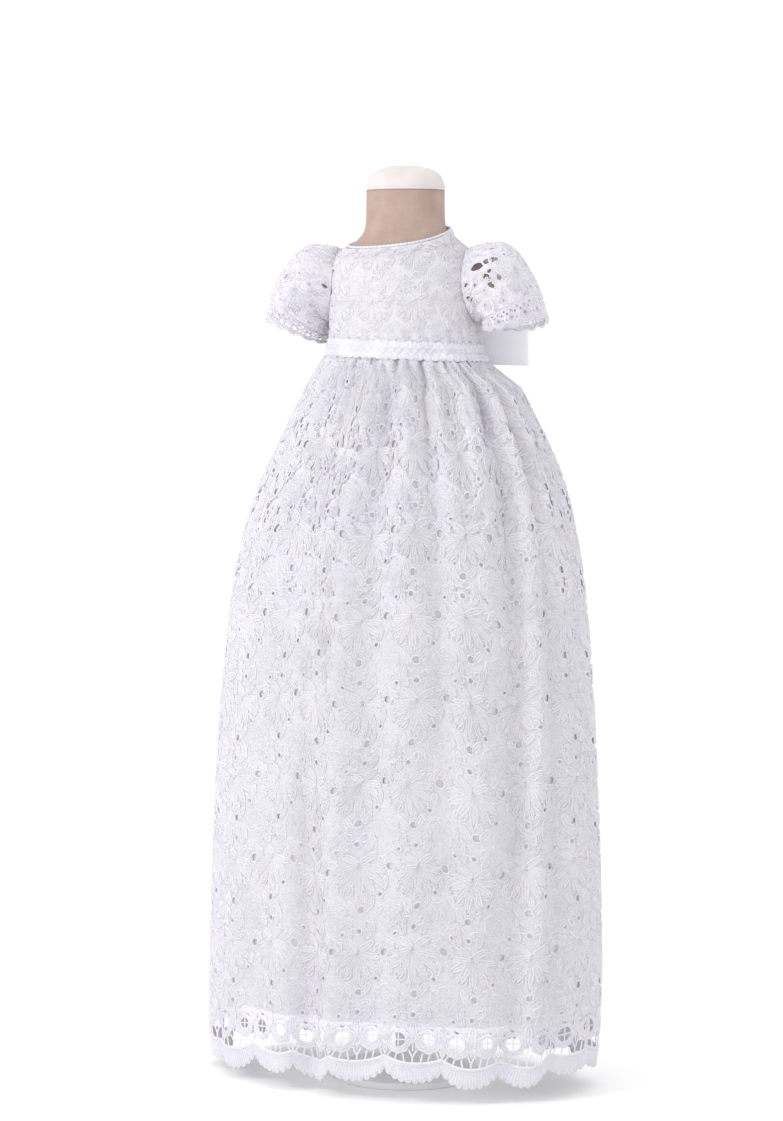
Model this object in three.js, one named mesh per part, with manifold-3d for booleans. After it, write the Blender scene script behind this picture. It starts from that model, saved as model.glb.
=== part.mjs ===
// A long christening gown of corded lace, standing on a limbless dress form.
// Millimetres, +Z up. The front faces -Y and the wearer's left is +X.
// The origin is the middle of the stand's underside.

import * as THREE from "three";
import { mergeVertices } from "three/addons/utils/BufferGeometryUtils.js";
import Module from "manifold-3d";

const wasm = await Module();
wasm.setup();

// Cloth and seams
const seamGap = 0.3;
const restGap = 0.4;
const laceThickness = 1.6;
const bodiceThickness = 2;
const liningThickness = 1.2;
const satinThickness = 1.2;

// Heights on the axis
const waistHeight = 732;
const waistTilt = 3;
const neckHeight = 842;
const neckRise = 10;
const neckTilt = 5;
const liningHemHeight = 72;

// Hem border: shells of equal length all round
const shellCount = 19;
const shellDepth = 14;
const shellRound = 0.9;
const sideSeamAngle = -1.7;
const backMiddle = 0.25;
const rightSide = 0.5;
const backColumns = 28;
const frontColumns = 57;
const lengthSteps = 1440;

// Rows down the skirt and the lining, as drops below the waist seam
const skirtRows = [0.3, 18, 44, 92, 165, 285, 450, 668];

// Gathers under the waist seam
const gatherCount = 23;
const gatherDepth = 2.6;
const gatherPeakDrop = 40;
const gatherFadeDrop = 210;
const gatherWander = [
  { turns: 3, reach: 1.4, start: 1 },
  { turns: 5, reach: 0.9, start: 0 },
];

// Rings of the body and the armholes
const bodyColumns = 36;
const armholeHeight = 795;
const armholeHalfHeight = 33;
const armholeHalfDepth = 22;
const armholeReach = 60;
const armholeSides = 20;
const sleeveHem = 3;

// Sleeve trims
const sleeveColumns = 20;
const scallopCount = 14;
const scallopColumns = 3;
const scallopDepth = 4;
const sleeveThickness = 1.5;
const sleeveGap = 0.6;

// Braid at the waist and edging at the neck
const braidTop = 10;
const braidBottom = 8;
const braidThickness = 2.4;
const braidGap = 1;
const braidColumns = 48;
const edgingHeight = 3.6;
const edgingThickness = 3;

// Bow, tails and buttons at the centre back
const knotSides = 12;
const knotRings = 8;
const knotHalfWidth = 13;
const knotHalfHeight = 15;
const knotDepth = 16;
const knotBack = 65.5;
const bowRise = 6;
const loopReach = 99;
const loopBend = 14;
const loopOpen = 9;
const loopBellyStart = 0.15;
const loopBellySpan = 0.6;
const loopHalfHeight = 29;
const loopPinch = 12;
const loopSides = 18;
const loopRise = 7;
const tailGap = 0.5;
const tail = { first: 1, columns: 5, rows: 5 };
const buttonHeights = [757, 778, 799, 820];
const buttonRadius = 4.5;
const buttonDepth = 3;
const buttonInset = 6;
const buttonTaper = 0.8;
const normalStep = 0.01;
const buttonSides = 12;

// Stand
const baseRadius = 75;
const baseThickness = 8;
const baseBevel = 2;
const poleRadius = 10;
const poleFoot = 22;
const poleFootHeight = 14;
const flangeRadius = 30;
const flangeHeight = 5;
const roundSides = 32;

// Cap of the neck, from its brim to its low dome: height above the neck and share of the neck's size
const capSections = [
  { rise: 0, share: 1 },
  { rise: 4, share: 1 },
  { rise: 13, share: 0.93 },
  { rise: 20.5, share: 0.68 },
  { rise: 24, share: 0.3 },
];

// Dress form, from its flat underside to the top of the neck
const formSections = [
  { z: 576, halfWidth: 52, halfDepth: 40 },
  { z: 582, halfWidth: 60, halfDepth: 47 },
  { z: 610, halfWidth: 70, halfDepth: 56 },
  { z: 655, halfWidth: 74, halfDepth: 59 },
  { z: 732, halfWidth: 73, halfDepth: 56.6 },
  { z: 775, halfWidth: 73, halfDepth: 55.6 },
  { z: 795, halfWidth: 72.4, halfDepth: 53.2 },
  { z: 810, halfWidth: 71, halfDepth: 50 },
  { z: 820, halfWidth: 68.5, halfDepth: 47 },
  { z: 828, halfWidth: 65.2, halfDepth: 45.2 },
  { z: 834, halfWidth: 58.8, halfDepth: 43.2 },
  { z: 840, halfWidth: 51, halfDepth: 41.2 },
  { z: 846, halfWidth: 44.6, halfDepth: 39.8 },
  { z: 853, halfWidth: 40.6, halfDepth: 38.6 },
  { z: 864, halfWidth: 39.4, halfDepth: 38.2 },
  { z: 890, halfWidth: 39, halfDepth: 38 },
];

// Round ends of the form's shoulders, which fill the armholes
const shoulderEnd = { out: 70, height: 797, reach: 26, halfDepth: 18, halfHeight: 26 };
const shoulderSides = 20;
const shoulderRings = 14;

// Outer face of the bodice
const bodiceSections = [
  { z: 728, halfWidth: 77.6, halfDepth: 61.4 },
  { z: 750, halfWidth: 77.2, halfDepth: 61 },
  { z: 775, halfWidth: 77.2, halfDepth: 59.6 },
  { z: 795, halfWidth: 76.6, halfDepth: 57.2 },
  { z: 810, halfWidth: 75.4, halfDepth: 54.2 },
  { z: 820, halfWidth: 73, halfDepth: 51.4 },
  { z: 828, halfWidth: 68.4, halfDepth: 48.8 },
  { z: 834, halfWidth: 62, halfDepth: 46.8 },
  { z: 840, halfWidth: 54.2, halfDepth: 45 },
  { z: 846, halfWidth: 48, halfDepth: 43.8 },
  { z: 860, halfWidth: 44.6, halfDepth: 42.8 },
];

// Outer face of the skirt, by its drop below the waist seam. It swings a little to the wearer's left
// on the hip, which the shift gives.
const skirtSections = [
  { drop: 0, halfWidth: 77.8, halfDepth: 61.4, shift: 0 },
  { drop: 18, halfWidth: 90, halfDepth: 70, shift: 3.5 },
  { drop: 34, halfWidth: 105, halfDepth: 79.5, shift: 9 },
  { drop: 54, halfWidth: 116, halfDepth: 88, shift: 9.5 },
  { drop: 94, halfWidth: 137, halfDepth: 100, shift: 9 },
  { drop: 134, halfWidth: 155, halfDepth: 108, shift: 6.5 },
  { drop: 184, halfWidth: 170, halfDepth: 114, shift: 2.5 },
  { drop: 239, halfWidth: 180, halfDepth: 117.5, shift: 0.5 },
  { drop: 314, halfWidth: 188.5, halfDepth: 119.5, shift: -1 },
  { drop: 414, halfWidth: 196, halfDepth: 121, shift: -2.5 },
  { drop: 514, halfWidth: 200.5, halfDepth: 122, shift: -3 },
  { drop: 614, halfWidth: 203, halfDepth: 122.5, shift: -3.5 },
  { drop: 680, halfWidth: 202, halfDepth: 122.5, shift: -5 },
  { drop: 724, halfWidth: 198, halfDepth: 121.5, shift: -6 },
];

// Large folds of the skirt: the angle of each trough at the waist and at the hem, its depth
// under the waist, halfway and at the hem, and its half width in degrees
const skirtFolds = [
  { waist: -88, hem: -85, high: 5, middle: 6, low: 3, halfWidth: 6 },
  { waist: -66, hem: -62, high: 5, middle: 3, low: 0, halfWidth: 4.5 },
  { waist: -34, hem: -43, high: 8, middle: 10, low: 6, halfWidth: 6.5 },
  { waist: -20, hem: -27, high: 6, middle: 4, low: 5, halfWidth: 4.5 },
  { waist: -110, hem: -128, high: 6, middle: 2, low: 3, halfWidth: 7 },
  { waist: -105, hem: -105, high: 0, middle: 1, low: 15, halfWidth: 4.2 },
  { waist: -146, hem: -152, high: 5, middle: 5, low: 7, halfWidth: 6 },
  { waist: 5, hem: 2, high: 6, middle: 6, low: 6, halfWidth: 6 },
  { waist: 30, hem: 27, high: 5, middle: 8, low: 9, halfWidth: 6.5 },
  { waist: 52, hem: 56, high: 6, middle: 3, low: 5, halfWidth: 5.5 },
  { waist: 74, hem: 80, high: 4, middle: 7, low: 10, halfWidth: 6.5 },
  { waist: 104, hem: 101, high: 6, middle: 4, low: 3, halfWidth: 5.5 },
  { waist: 122, hem: 128, high: 5, middle: 8, low: 11, halfWidth: 7 },
  { waist: 148, hem: 152, high: 6, middle: 5, low: 4, halfWidth: 5.5 },
  { waist: 172, hem: 178, high: 5, middle: 6, low: 8, halfWidth: 6.5 },
];
const foldHighDrop = 60;
const foldMiddleDrop = 300;
const foldLowDrop = 700;
const foldStartDrop = 12;
const foldRidge = 0.35;
const foldRidgePlace = 1.9;

// How far the lining hangs inside the lace's outer face
const liningGaps = [
  { drop: 0, gap: 2.2 },
  { drop: 18, gap: 3 },
  { drop: 84, gap: 4 },
  { drop: 724, gap: 5 },
];

// Height of the hem's lowest points round the skirt
const hemHeights = [
  { angle: -180, height: 10 },
  { angle: -145, height: 9 },
  { angle: -118, height: 17 },
  { angle: -104, height: 12 },
  { angle: -90, height: 18 },
  { angle: -73, height: 20 },
  { angle: -57, height: 15 },
  { angle: -37, height: 15 },
  { angle: -12, height: 24 },
  { angle: 30, height: 14 },
  { angle: 70, height: 17 },
  { angle: 110, height: 12 },
  { angle: 150, height: 16 },
  { angle: 180, height: 10 },
];

// Rings of the sleeve after the armhole: the crown's point, the underarm's point and the half depth
const sleeveSections = [
  { crownOut: 82, crownUp: 835, underOut: 79, underUp: 758.5, halfDepth: 33 },
  { crownOut: 101, crownUp: 836, underOut: 80.5, underUp: 759, halfDepth: 39 },
  { crownOut: 118, crownUp: 827, underOut: 82.5, underUp: 760, halfDepth: 43 },
  { crownOut: 131, crownUp: 807, underOut: 84.5, underUp: 761, halfDepth: 44 },
  { crownOut: 139, crownUp: 789, underOut: 86, underUp: 762, halfDepth: 43 },
];
const trimSections = [
  { crownOut: 139.6, crownUp: 788, underOut: 86.2, underUp: 761.4, halfDepth: 43 },
  { crownOut: 146, crownUp: 764, underOut: 88, underUp: 753, halfDepth: 46.5 },
];
// The two sleeves hang unevenly: how far the front and the underarm side drop at the cuff
const sleeveDrape = {
  left: { sag: 5, underDrop: 0 },
  right: { sag: 0, underDrop: 14 },
};

const radians = THREE.MathUtils.degToRad;
const turn = 2 * Math.PI;

// A smooth curve through one column of a table, with no overshoot between its rows.
function curveThrough(rows, place, value) {
  const xs = rows.map((row) => row[place]);
  const ys = rows.map((row) => row[value]);
  const rises = xs.slice(1).map((x, i) => (ys[i + 1] - ys[i]) / (x - xs[i]));
  const slopes = xs.map((x, i) => {
    const before = rises[Math.max(i - 1, 0)];
    const after = rises[Math.min(i, rises.length - 1)];
    return before * after > 0 ? (2 * before * after) / (before + after) : 0;
  });
  return (place) => {
    const x = THREE.MathUtils.clamp(place, xs[0], xs[xs.length - 1]);
    let i = 0;
    while (i < xs.length - 2 && x > xs[i + 1]) {
      i += 1;
    }
    const step = xs[i + 1] - xs[i];
    const s = (x - xs[i]) / step;
    const keep = (1 + 2 * s) * (1 - s) ** 2;
    const swap = s * s * (3 - 2 * s);
    const leave = s * (1 - s) ** 2 * step * slopes[i];
    const arrive = s * s * (s - 1) * step * slopes[i + 1];
    return keep * ys[i] + swap * ys[i + 1] + leave + arrive;
  };
}

// An oval ring from a table of sections, read by height or by drop.
function ovalFrom(rows, place) {
  const halfWidth = curveThrough(rows, place, "halfWidth");
  const halfDepth = curveThrough(rows, place, "halfDepth");
  const shift = "shift" in rows[0] ? curveThrough(rows, place, "shift") : () => 0;
  return (level) => ({ a: halfWidth(level), b: halfDepth(level), middle: shift(level) });
}

// A point at an angle on an oval, moved out along the oval's normal.
function onOval({ a, b, middle }, angle, out, height) {
  const nx = b * Math.cos(angle);
  const ny = a * Math.sin(angle);
  const length = Math.hypot(nx, ny);
  const x = middle + a * Math.cos(angle) + (out * nx) / length;
  const y = b * Math.sin(angle) + (out * ny) / length;
  return new THREE.Vector3(x, y, height);
}

function evenSteps(from, to, count) {
  return Array.from({ length: count + 1 }, (_, i) => from + ((to - from) * i) / count);
}

function ringSteps(count) {
  return evenSteps(0, turn, count).slice(0, count);
}

function meshData(points, faces) {
  const geometry = new THREE.BufferGeometry();
  const flat = points.flatMap((p) => [p.x, p.y, p.z]);
  geometry.setAttribute("position", new THREE.Float32BufferAttribute(flat, 3));
  geometry.setIndex(faces);
  geometry.computeVertexNormals();
  return geometry;
}

// A closed wall: at(u, v, w) is a point, with u round the body, v down it and w outward from 0 to 1.
function wall(at, us, vs, closed) {
  const n = us.length;
  const m = vs.length;
  const points = [0, 1].flatMap((w) => us.flatMap((u) => vs.map((v) => at(u, v, w))));
  const id = (i, j, w) => (w * n + (i % n)) * m + j;
  const faces = [];
  const quad = (a, b, c, d) => faces.push(a, b, c, a, c, d);
  const spans = closed ? n : n - 1;
  for (let i = 0; i < spans; i += 1) {
    for (let j = 0; j < m - 1; j += 1) {
      quad(id(i, j, 1), id(i, j + 1, 1), id(i + 1, j + 1, 1), id(i + 1, j, 1));
      quad(id(i, j, 0), id(i + 1, j, 0), id(i + 1, j + 1, 0), id(i, j + 1, 0));
    }
    quad(id(i, 0, 1), id(i + 1, 0, 1), id(i + 1, 0, 0), id(i, 0, 0));
    quad(id(i, m - 1, 0), id(i + 1, m - 1, 0), id(i + 1, m - 1, 1), id(i, m - 1, 1));
  }
  for (let j = 0; j < m - 1 && !closed; j += 1) {
    quad(id(0, j, 1), id(0, j, 0), id(0, j + 1, 0), id(0, j + 1, 1));
    quad(id(n - 1, j, 0), id(n - 1, j, 1), id(n - 1, j + 1, 1), id(n - 1, j + 1, 0));
  }
  return meshData(points, faces);
}

// A solid through rings from the top down, closed by a flat face at each end.
function loft(at, us, vs) {
  const n = us.length;
  const points = vs.flatMap((v) => us.map((u) => at(u, v)));
  const id = (i, j) => j * n + (i % n);
  const middle = (ring) => ring.reduce((sum, p) => sum.add(p), new THREE.Vector3()).divideScalar(n);
  const top = points.push(middle(points.slice(0, n))) - 1;
  const bottom = points.push(middle(points.slice((vs.length - 1) * n, vs.length * n))) - 1;
  const faces = [];
  for (let i = 0; i < n; i += 1) {
    for (let j = 0; j < vs.length - 1; j += 1) {
      faces.push(id(i, j), id(i, j + 1), id(i + 1, j + 1), id(i, j), id(i + 1, j + 1), id(i + 1, j));
    }
    faces.push(top, id(i, 0), id(i + 1, 0));
    faces.push(bottom, id(i + 1, vs.length - 1), id(i, vs.length - 1));
  }
  return meshData(points, faces);
}

function solidOf(geometry) {
  const bare = geometry.clone();
  bare.deleteAttribute("normal");
  bare.deleteAttribute("uv");
  const merged = mergeVertices(bare);
  const vertProperties = new Float32Array(merged.attributes.position.array);
  const triVerts = new Uint32Array(merged.index.array);
  return new wasm.Manifold(new wasm.Mesh({ numProp: 3, vertProperties, triVerts }));
}

function geometryOf(solid) {
  const mesh = solid.getMesh();
  const geometry = new THREE.BufferGeometry();
  geometry.setAttribute("position", new THREE.Float32BufferAttribute(mesh.vertProperties, 3));
  geometry.setIndex(Array.from(mesh.triVerts));
  geometry.computeVertexNormals();
  return geometry;
}

// Materials
const materials = {
  lace: { color: "#f4f3f9", roughness: 0.75 },
  lining: { color: "#f7f7fb", roughness: 0.45 },
  satin: { color: "#e6e5eb", roughness: 0.4 },
  braid: { color: "#f8f7fb", roughness: 0.6 },
  pearl: { color: "#f3efe8", roughness: 0.3 },
  linen: { color: "#c7b3a9", roughness: 0.9 },
  cap: { color: "#e8e2e1", roughness: 0.85 },
  enamel: { color: "#f2f2f2", roughness: 0.4 },
};
const gown = new THREE.Group();

function add(name, geometry, look) {
  const material = new THREE.MeshStandardMaterial({ metalness: 0, ...materials[look] });
  const mesh = new THREE.Mesh(geometry, material);
  mesh.name = name;
  gown.add(mesh);
  return mesh;
}

// Dress form
const formOval = ovalFrom(formSections, "z");
const formHeights = formSections.map(({ z }) => z);
const formAt = (u, z) => onOval(formOval(z), u, 0, z);
const torso = solidOf(loft(formAt, ringSteps(bodyColumns), [...formHeights].reverse()));
const shoulders = [1, -1].map((side) => {
  const end = new THREE.SphereGeometry(1, shoulderSides, shoulderRings);
  end.scale(shoulderEnd.reach, shoulderEnd.halfDepth, shoulderEnd.halfHeight);
  return solidOf(end.translate(side * shoulderEnd.out, 0, shoulderEnd.height));
});
add("form_torso", geometryOf(torso.add(shoulders[0]).add(shoulders[1])), "linen");

const neckTop = formSections[formSections.length - 1];
const capAt = (u, { rise, share }) => {
  const oval = { a: neckTop.halfWidth * share, b: neckTop.halfDepth * share, middle: 0 };
  return onOval(oval, u, 0, neckTop.z + seamGap + rise);
};
add("form_neck_cap", loft(capAt, ringSteps(bodyColumns), [...capSections].reverse()), "cap");

// Stand
const formBottom = formHeights[0];
function lathe(profile) {
  const outline = profile.map(([radius, height]) => new THREE.Vector2(radius, height));
  return new THREE.LatheGeometry(outline, roundSides).rotateX(Math.PI / 2);
}
const poleTop = formBottom - seamGap;
const poleBottom = baseThickness + seamGap;
const pole = lathe([
  [0, poleBottom],
  [poleFoot, poleBottom],
  [poleRadius, poleBottom + poleFootHeight],
  [poleRadius, poleTop - flangeHeight],
  [flangeRadius, poleTop - flangeHeight],
  [flangeRadius, poleTop],
  [0, poleTop],
]);
add("stand_pole", pole, "enamel");
const base = lathe([
  [0, 0],
  [baseRadius, 0],
  [baseRadius, baseThickness - baseBevel],
  [baseRadius - baseBevel, baseThickness],
  [0, baseThickness],
]);
add("stand_base", base, "enamel");

// Bodice: one tube with open armholes, cut at the side, shoulder and back seams
const bodiceOval = ovalFrom(bodiceSections, "z");
const waistAt = (angle) => waistHeight - waistTilt * Math.cos(angle);
const necklineAt = (angle) => neckHeight + neckRise * Math.sin(angle) + neckTilt * Math.cos(angle);
const bodiceAt = (u, v, w) => {
  const z = THREE.MathUtils.lerp(necklineAt(u), waistAt(u), v);
  return onOval(bodiceOval(z), u, (w - 1) * bodiceThickness, z);
};
const bodiceShares = [0, 0.07, 0.15, 0.26, 0.42, 0.68, 1];
const bodiceTube = solidOf(wall(bodiceAt, ringSteps(bodyColumns), bodiceShares, true));
const armholeShape = new THREE.CylinderGeometry(1, 1, 1, armholeSides);
armholeShape.rotateZ(Math.PI / 2);
armholeShape.scale(armholeReach, armholeHalfDepth, armholeHalfHeight);
const armholeX = formOval(armholeHeight).a;
const armholeLeft = solidOf(armholeShape.clone().translate(armholeX, 0, armholeHeight));
const armholeRight = solidOf(armholeShape.clone().translate(-armholeX, 0, armholeHeight));
const bodice = bodiceTube.subtract(armholeLeft).subtract(armholeRight);

// The part of the bodice between two planes across and two planes from front to back
function bodicePiece(xLow, xHigh, yLow, yHigh) {
  const high = neckTop.z;
  const block = new THREE.BoxGeometry(xHigh - xLow, yHigh - yLow, high);
  block.translate((xLow + xHigh) / 2, (yLow + yHigh) / 2, high / 2);
  return geometryOf(bodice.intersect(solidOf(block)));
}
const half = seamGap / 2;
const beyond = 2 * bodiceSections[0].halfWidth;
add("bodice_front", bodicePiece(-beyond, beyond, -beyond, -half), "lace");
add("bodice_back_left", bodicePiece(half, beyond, half, beyond), "lace");
add("bodice_back_right", bodicePiece(-beyond, -half, half, beyond), "lace");

// Edging round the neck, standing on the bodice's top edge
const edgingAt = (u, v, w) => {
  const z = necklineAt(u) + seamGap + edgingHeight * (1 - v);
  return onOval(bodiceOval(z), u, restGap + (w - 1) * edgingThickness, z);
};
add("neck_edging", wall(edgingAt, ringSteps(bodyColumns), [0, 1], true), "braid");

// Skirt surface
const skirtOval = ovalFrom(skirtSections, "drop");
const wrapDegrees = (degrees) => THREE.MathUtils.euclideanModulo(degrees + 180, 360) - 180;
const foldDepths = skirtFolds.map(({ high, middle, low }) => {
  const rows = [
    { drop: foldStartDrop, depth: 0 },
    { drop: foldHighDrop, depth: high },
    { drop: foldMiddleDrop, depth: middle },
    { drop: foldLowDrop, depth: low },
  ];
  return curveThrough(rows, "drop", "depth");
});

// Each fold is a round trough with a low ridge on both sides.
function foldOut(degrees, drop) {
  const share = drop / foldLowDrop;
  return skirtFolds.reduce((sum, fold, i) => {
    const place = THREE.MathUtils.lerp(fold.waist, fold.hem, share);
    const q = wrapDegrees(degrees - place) / fold.halfWidth;
    const ridges = Math.exp(-((q - foldRidgePlace) ** 2)) + Math.exp(-((q + foldRidgePlace) ** 2));
    return sum + foldDepths[i](drop) * (foldRidge * ridges - Math.exp(-q * q));
  }, 0);
}

// Gathers are uneven waves that start under the braid and fade out down the skirt.
const gatherRows = [
  { drop: foldStartDrop, depth: 0 },
  { drop: gatherPeakDrop, depth: gatherDepth },
  { drop: gatherFadeDrop, depth: 0 },
];
const gatherDepthAt = curveThrough(gatherRows, "drop", "depth");
function gatherOut(angle, drop) {
  const wander = gatherWander.reduce((sum, { turns, reach, start }) => {
    return sum + reach * Math.sin(turns * angle + start);
  }, 0);
  return gatherDepthAt(drop) * Math.cos(gatherCount * angle + wander);
}

function skirtPoint(angle, drop, out) {
  const degrees = THREE.MathUtils.radToDeg(angle);
  const moved = foldOut(degrees, drop) + gatherOut(angle, drop) + out;
  return onOval(skirtOval(drop), angle, moved, waistAt(angle) - drop);
}

// Angles at even lengths along the folded hem, from the left side seam round by the back
const firstAngle = radians(sideSeamAngle);
const fineAngles = evenSteps(firstAngle, firstAngle + turn, lengthSteps);
const finePoints = fineAngles.map((angle) => skirtPoint(angle, foldLowDrop, 0).setZ(0));
const lengths = [0];
for (let i = 1; i < finePoints.length; i += 1) {
  lengths.push(lengths[i - 1] + finePoints[i].distanceTo(finePoints[i - 1]));
}
const hemLength = lengths[lengths.length - 1];
function angleAtShare(share) {
  const target = THREE.MathUtils.clamp(share, 0, 1) * hemLength;
  let i = 1;
  while (i < lengths.length - 1 && lengths[i] < target) {
    i += 1;
  }
  const part = (target - lengths[i - 1]) / (lengths[i] - lengths[i - 1]);
  return THREE.MathUtils.lerp(fineAngles[i - 1], fineAngles[i], part);
}

// Lower edge of the border: a round shell between two cusps, repeated
const hemHeightAt = curveThrough(hemHeights, "angle", "height");
function hemDrop(share) {
  const angle = angleAtShare(share);
  const across = 2 * THREE.MathUtils.euclideanModulo(share * shellCount, 1) - 1;
  const lift = shellDepth * (1 - Math.sqrt(1 - shellRound * across * across));
  const low = hemHeightAt(wrapDegrees(THREE.MathUtils.radToDeg(angle)));
  return waistAt(angle) - low - lift / (1 - Math.sqrt(1 - shellRound));
}

// A skirt panel between two shares of the hem's length
function skirtPanel(from, to, count) {
  const shares = evenSteps(from, to, count);
  const at = (share, row, w) => {
    const drop = row < skirtRows.length ? skirtRows[row] : hemDrop(share);
    const angle = angleAtShare(share);
    const inward = Number(share === from) - Number(share === to);
    const { a, b } = skirtOval(drop);
    const seam = (inward * seamGap) / 2 / Math.hypot(a * Math.sin(angle), b * Math.cos(angle));
    return skirtPoint(angle + seam, drop, (w - 1) * laceThickness);
  };
  return wall(at, shares, evenSteps(0, skirtRows.length, skirtRows.length), false);
}
add("skirt_back_left", skirtPanel(0, backMiddle, backColumns), "lace");
add("skirt_back_right", skirtPanel(backMiddle, rightSide, backColumns), "lace");
add("skirt_front", skirtPanel(rightSide, 1, frontColumns), "lace");

// Lining: hangs close inside the lace, in the same folds, and has the panels' own columns
const liningGapAt = curveThrough(liningGaps, "drop", "gap");
const liningEnds = [...skirtRows.slice(0, -1), waistHeight - liningHemHeight];
const liningAt = (share, drop, w) => {
  return skirtPoint(angleAtShare(share), drop, (w - 1) * liningThickness - liningGapAt(drop));
};
const liningBack = evenSteps(0, rightSide, 2 * backColumns);
const liningFront = evenSteps(rightSide, 1, frontColumns).slice(1, frontColumns);
add("skirt_lining", wall(liningAt, [...liningBack, ...liningFront], liningEnds, true), "lining");

// Braid over the waist seam, moved out from the bodice's and the skirt's faces
const braidAt = (angle, drop, w) => {
  const z = waistAt(angle) - drop;
  const oval = drop < 0 ? bodiceOval(z) : skirtOval(drop);
  return onOval(oval, angle, braidGap + w * braidThickness, z);
};
const braidRows = [-braidTop, 0, braidBottom];
add("waist_braid", wall(braidAt, ringSteps(braidColumns), braidRows, true), "braid");

// Sleeves: each starts against the bodice round the armhole, puffs out and ends in a scalloped trim
const bodiceXAt = (y, z) => {
  const { a, b } = bodiceOval(z);
  return a * Math.sqrt(1 - (y / b) ** 2);
};
function sleeveRing(section, side, drape, angle, w) {
  const inset = (w - 1) * sleeveThickness;
  const crown = new THREE.Vector2(section.crownOut, section.crownUp);
  const under = new THREE.Vector2(section.underOut, section.underUp);
  const reach = crown.distanceTo(under) / 2;
  const across = crown.clone().sub(under).normalize();
  const middle = crown.clone().add(under).divideScalar(2);
  const place = middle.addScaledVector(across, (reach + inset) * Math.cos(angle));
  const y = (section.halfDepth + inset) * Math.sin(angle);
  const underShare = (1 - Math.cos(angle)) / 2;
  const dip = drape.sag * Math.sin(angle) ** 2 + drape.underDrop * underShare ** 2;
  return new THREE.Vector3(side * place.x, side * y, place.y - dip);
}
function armholeRing(side, angle, w) {
  const margin = sleeveHem + (w - 1) * sleeveThickness;
  const y = (armholeHalfDepth + margin) * Math.sin(angle);
  const z = armholeHeight + (armholeHalfHeight + margin) * Math.cos(angle);
  return new THREE.Vector3(side * (bodiceXAt(y, z) + sleeveGap), side * y, z);
}
for (const [name, side] of [["left", 1], ["right", -1]]) {
  const drape = sleeveDrape[name];
  const last = sleeveSections.length;
  const sleeveAt = (angle, row, w) => {
    if (row === 0) {
      return armholeRing(side, angle, w);
    }
    const share = row / last;
    const eased = { sag: drape.sag * share, underDrop: drape.underDrop * share * share };
    return sleeveRing(sleeveSections[row - 1], side, eased, angle, w);
  };
  add(`sleeve_${name}`, wall(sleeveAt, ringSteps(sleeveColumns), evenSteps(0, last, last), true), "lace");
  const trimAt = (angle, row, w) => {
    const point = sleeveRing(trimSections[row], side, drape, angle, w);
    const scallop = Math.abs(Math.cos((scallopCount * angle) / 2)) - 0.5;
    point.z += row === 0 ? 0 : scallopDepth * scallop;
    return point;
  };
  const columns = ringSteps(scallopCount * scallopColumns);
  add(`sleeve_trim_${name}`, wall(trimAt, columns, [0, 1], true), "lace");
}

// Bow at the centre back: a knot, two loops and two tails
const bowHeight = waistHeight + bowRise;
const knot = new THREE.SphereGeometry(1, knotSides, knotRings);
knot.scale(knotHalfWidth, knotDepth / 2, knotHalfHeight);
knot.translate(0, knotBack + knotDepth / 2, bowHeight);
add("bow_knot", knot, "satin");

const loopStart = knotHalfWidth + seamGap;
for (const [name, side] of [["left", 1], ["right", -1]]) {
  const loopAt = (angle, v, w) => {
    const share = (1 - Math.cos(angle)) / 2;
    const out = loopStart + share * (loopReach - loopStart);
    const swell = Math.sin(Math.PI * (loopBellyStart + loopBellySpan * share));
    const belly = loopOpen * Math.sin(angle) * swell;
    const bend = knotBack + knotDepth / 2 + loopBend * share * share;
    const halfHeight = THREE.MathUtils.lerp(loopPinch, loopHalfHeight, Math.sqrt(share));
    const z = bowHeight + loopRise * share + halfHeight * (1 - 2 * v);
    const inward = (w - 1) * satinThickness;
    const x = out - inward * Math.cos(angle);
    return new THREE.Vector3(side * x, bend - side * (belly + inward * Math.sin(angle)), z);
  };
  add(`bow_loop_${name}`, wall(loopAt, ringSteps(loopSides), [0, 0.5, 1], true), "satin");
  // A tail lies on the skirt's own columns, from the knot to the end of its length.
  const near = backMiddle * (1 - (side * tail.first) / backColumns);
  const far = backMiddle * (1 - (side * (tail.first + tail.columns)) / backColumns);
  const shares = evenSteps(Math.min(near, far), Math.max(near, far), tail.columns);
  const tailAt = (share, drop, w) => {
    return skirtPoint(angleAtShare(share), drop, tailGap + w * satinThickness);
  };
  add(`bow_tail_${name}`, wall(tailAt, shares, skirtRows.slice(1, 1 + tail.rows), false), "satin");
}

// Buttons down the centre back, each lying on the left back piece
buttonHeights.forEach((height, i) => {
  const oval = bodiceOval(height);
  const angle = Math.PI / 2 - buttonInset / oval.a;
  const seat = onOval(oval, angle, 0, height);
  const above = onOval(bodiceOval(height + normalStep), angle, 0, height + normalStep);
  const beside = onOval(oval, angle + normalStep, 0, height);
  const normal = beside.sub(seat).cross(above.sub(seat)).normalize();
  const top = buttonRadius * buttonTaper;
  const disc = new THREE.CylinderGeometry(top, buttonRadius, buttonDepth, buttonSides);
  const button = add(`back_button_${i + 1}`, disc, "pearl");
  button.quaternion.setFromUnitVectors(new THREE.Vector3(0, 1, 0), normal);
  button.position.copy(seat).addScaledVector(normal, buttonDepth / 2 + restGap);
});

export default gown;
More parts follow.
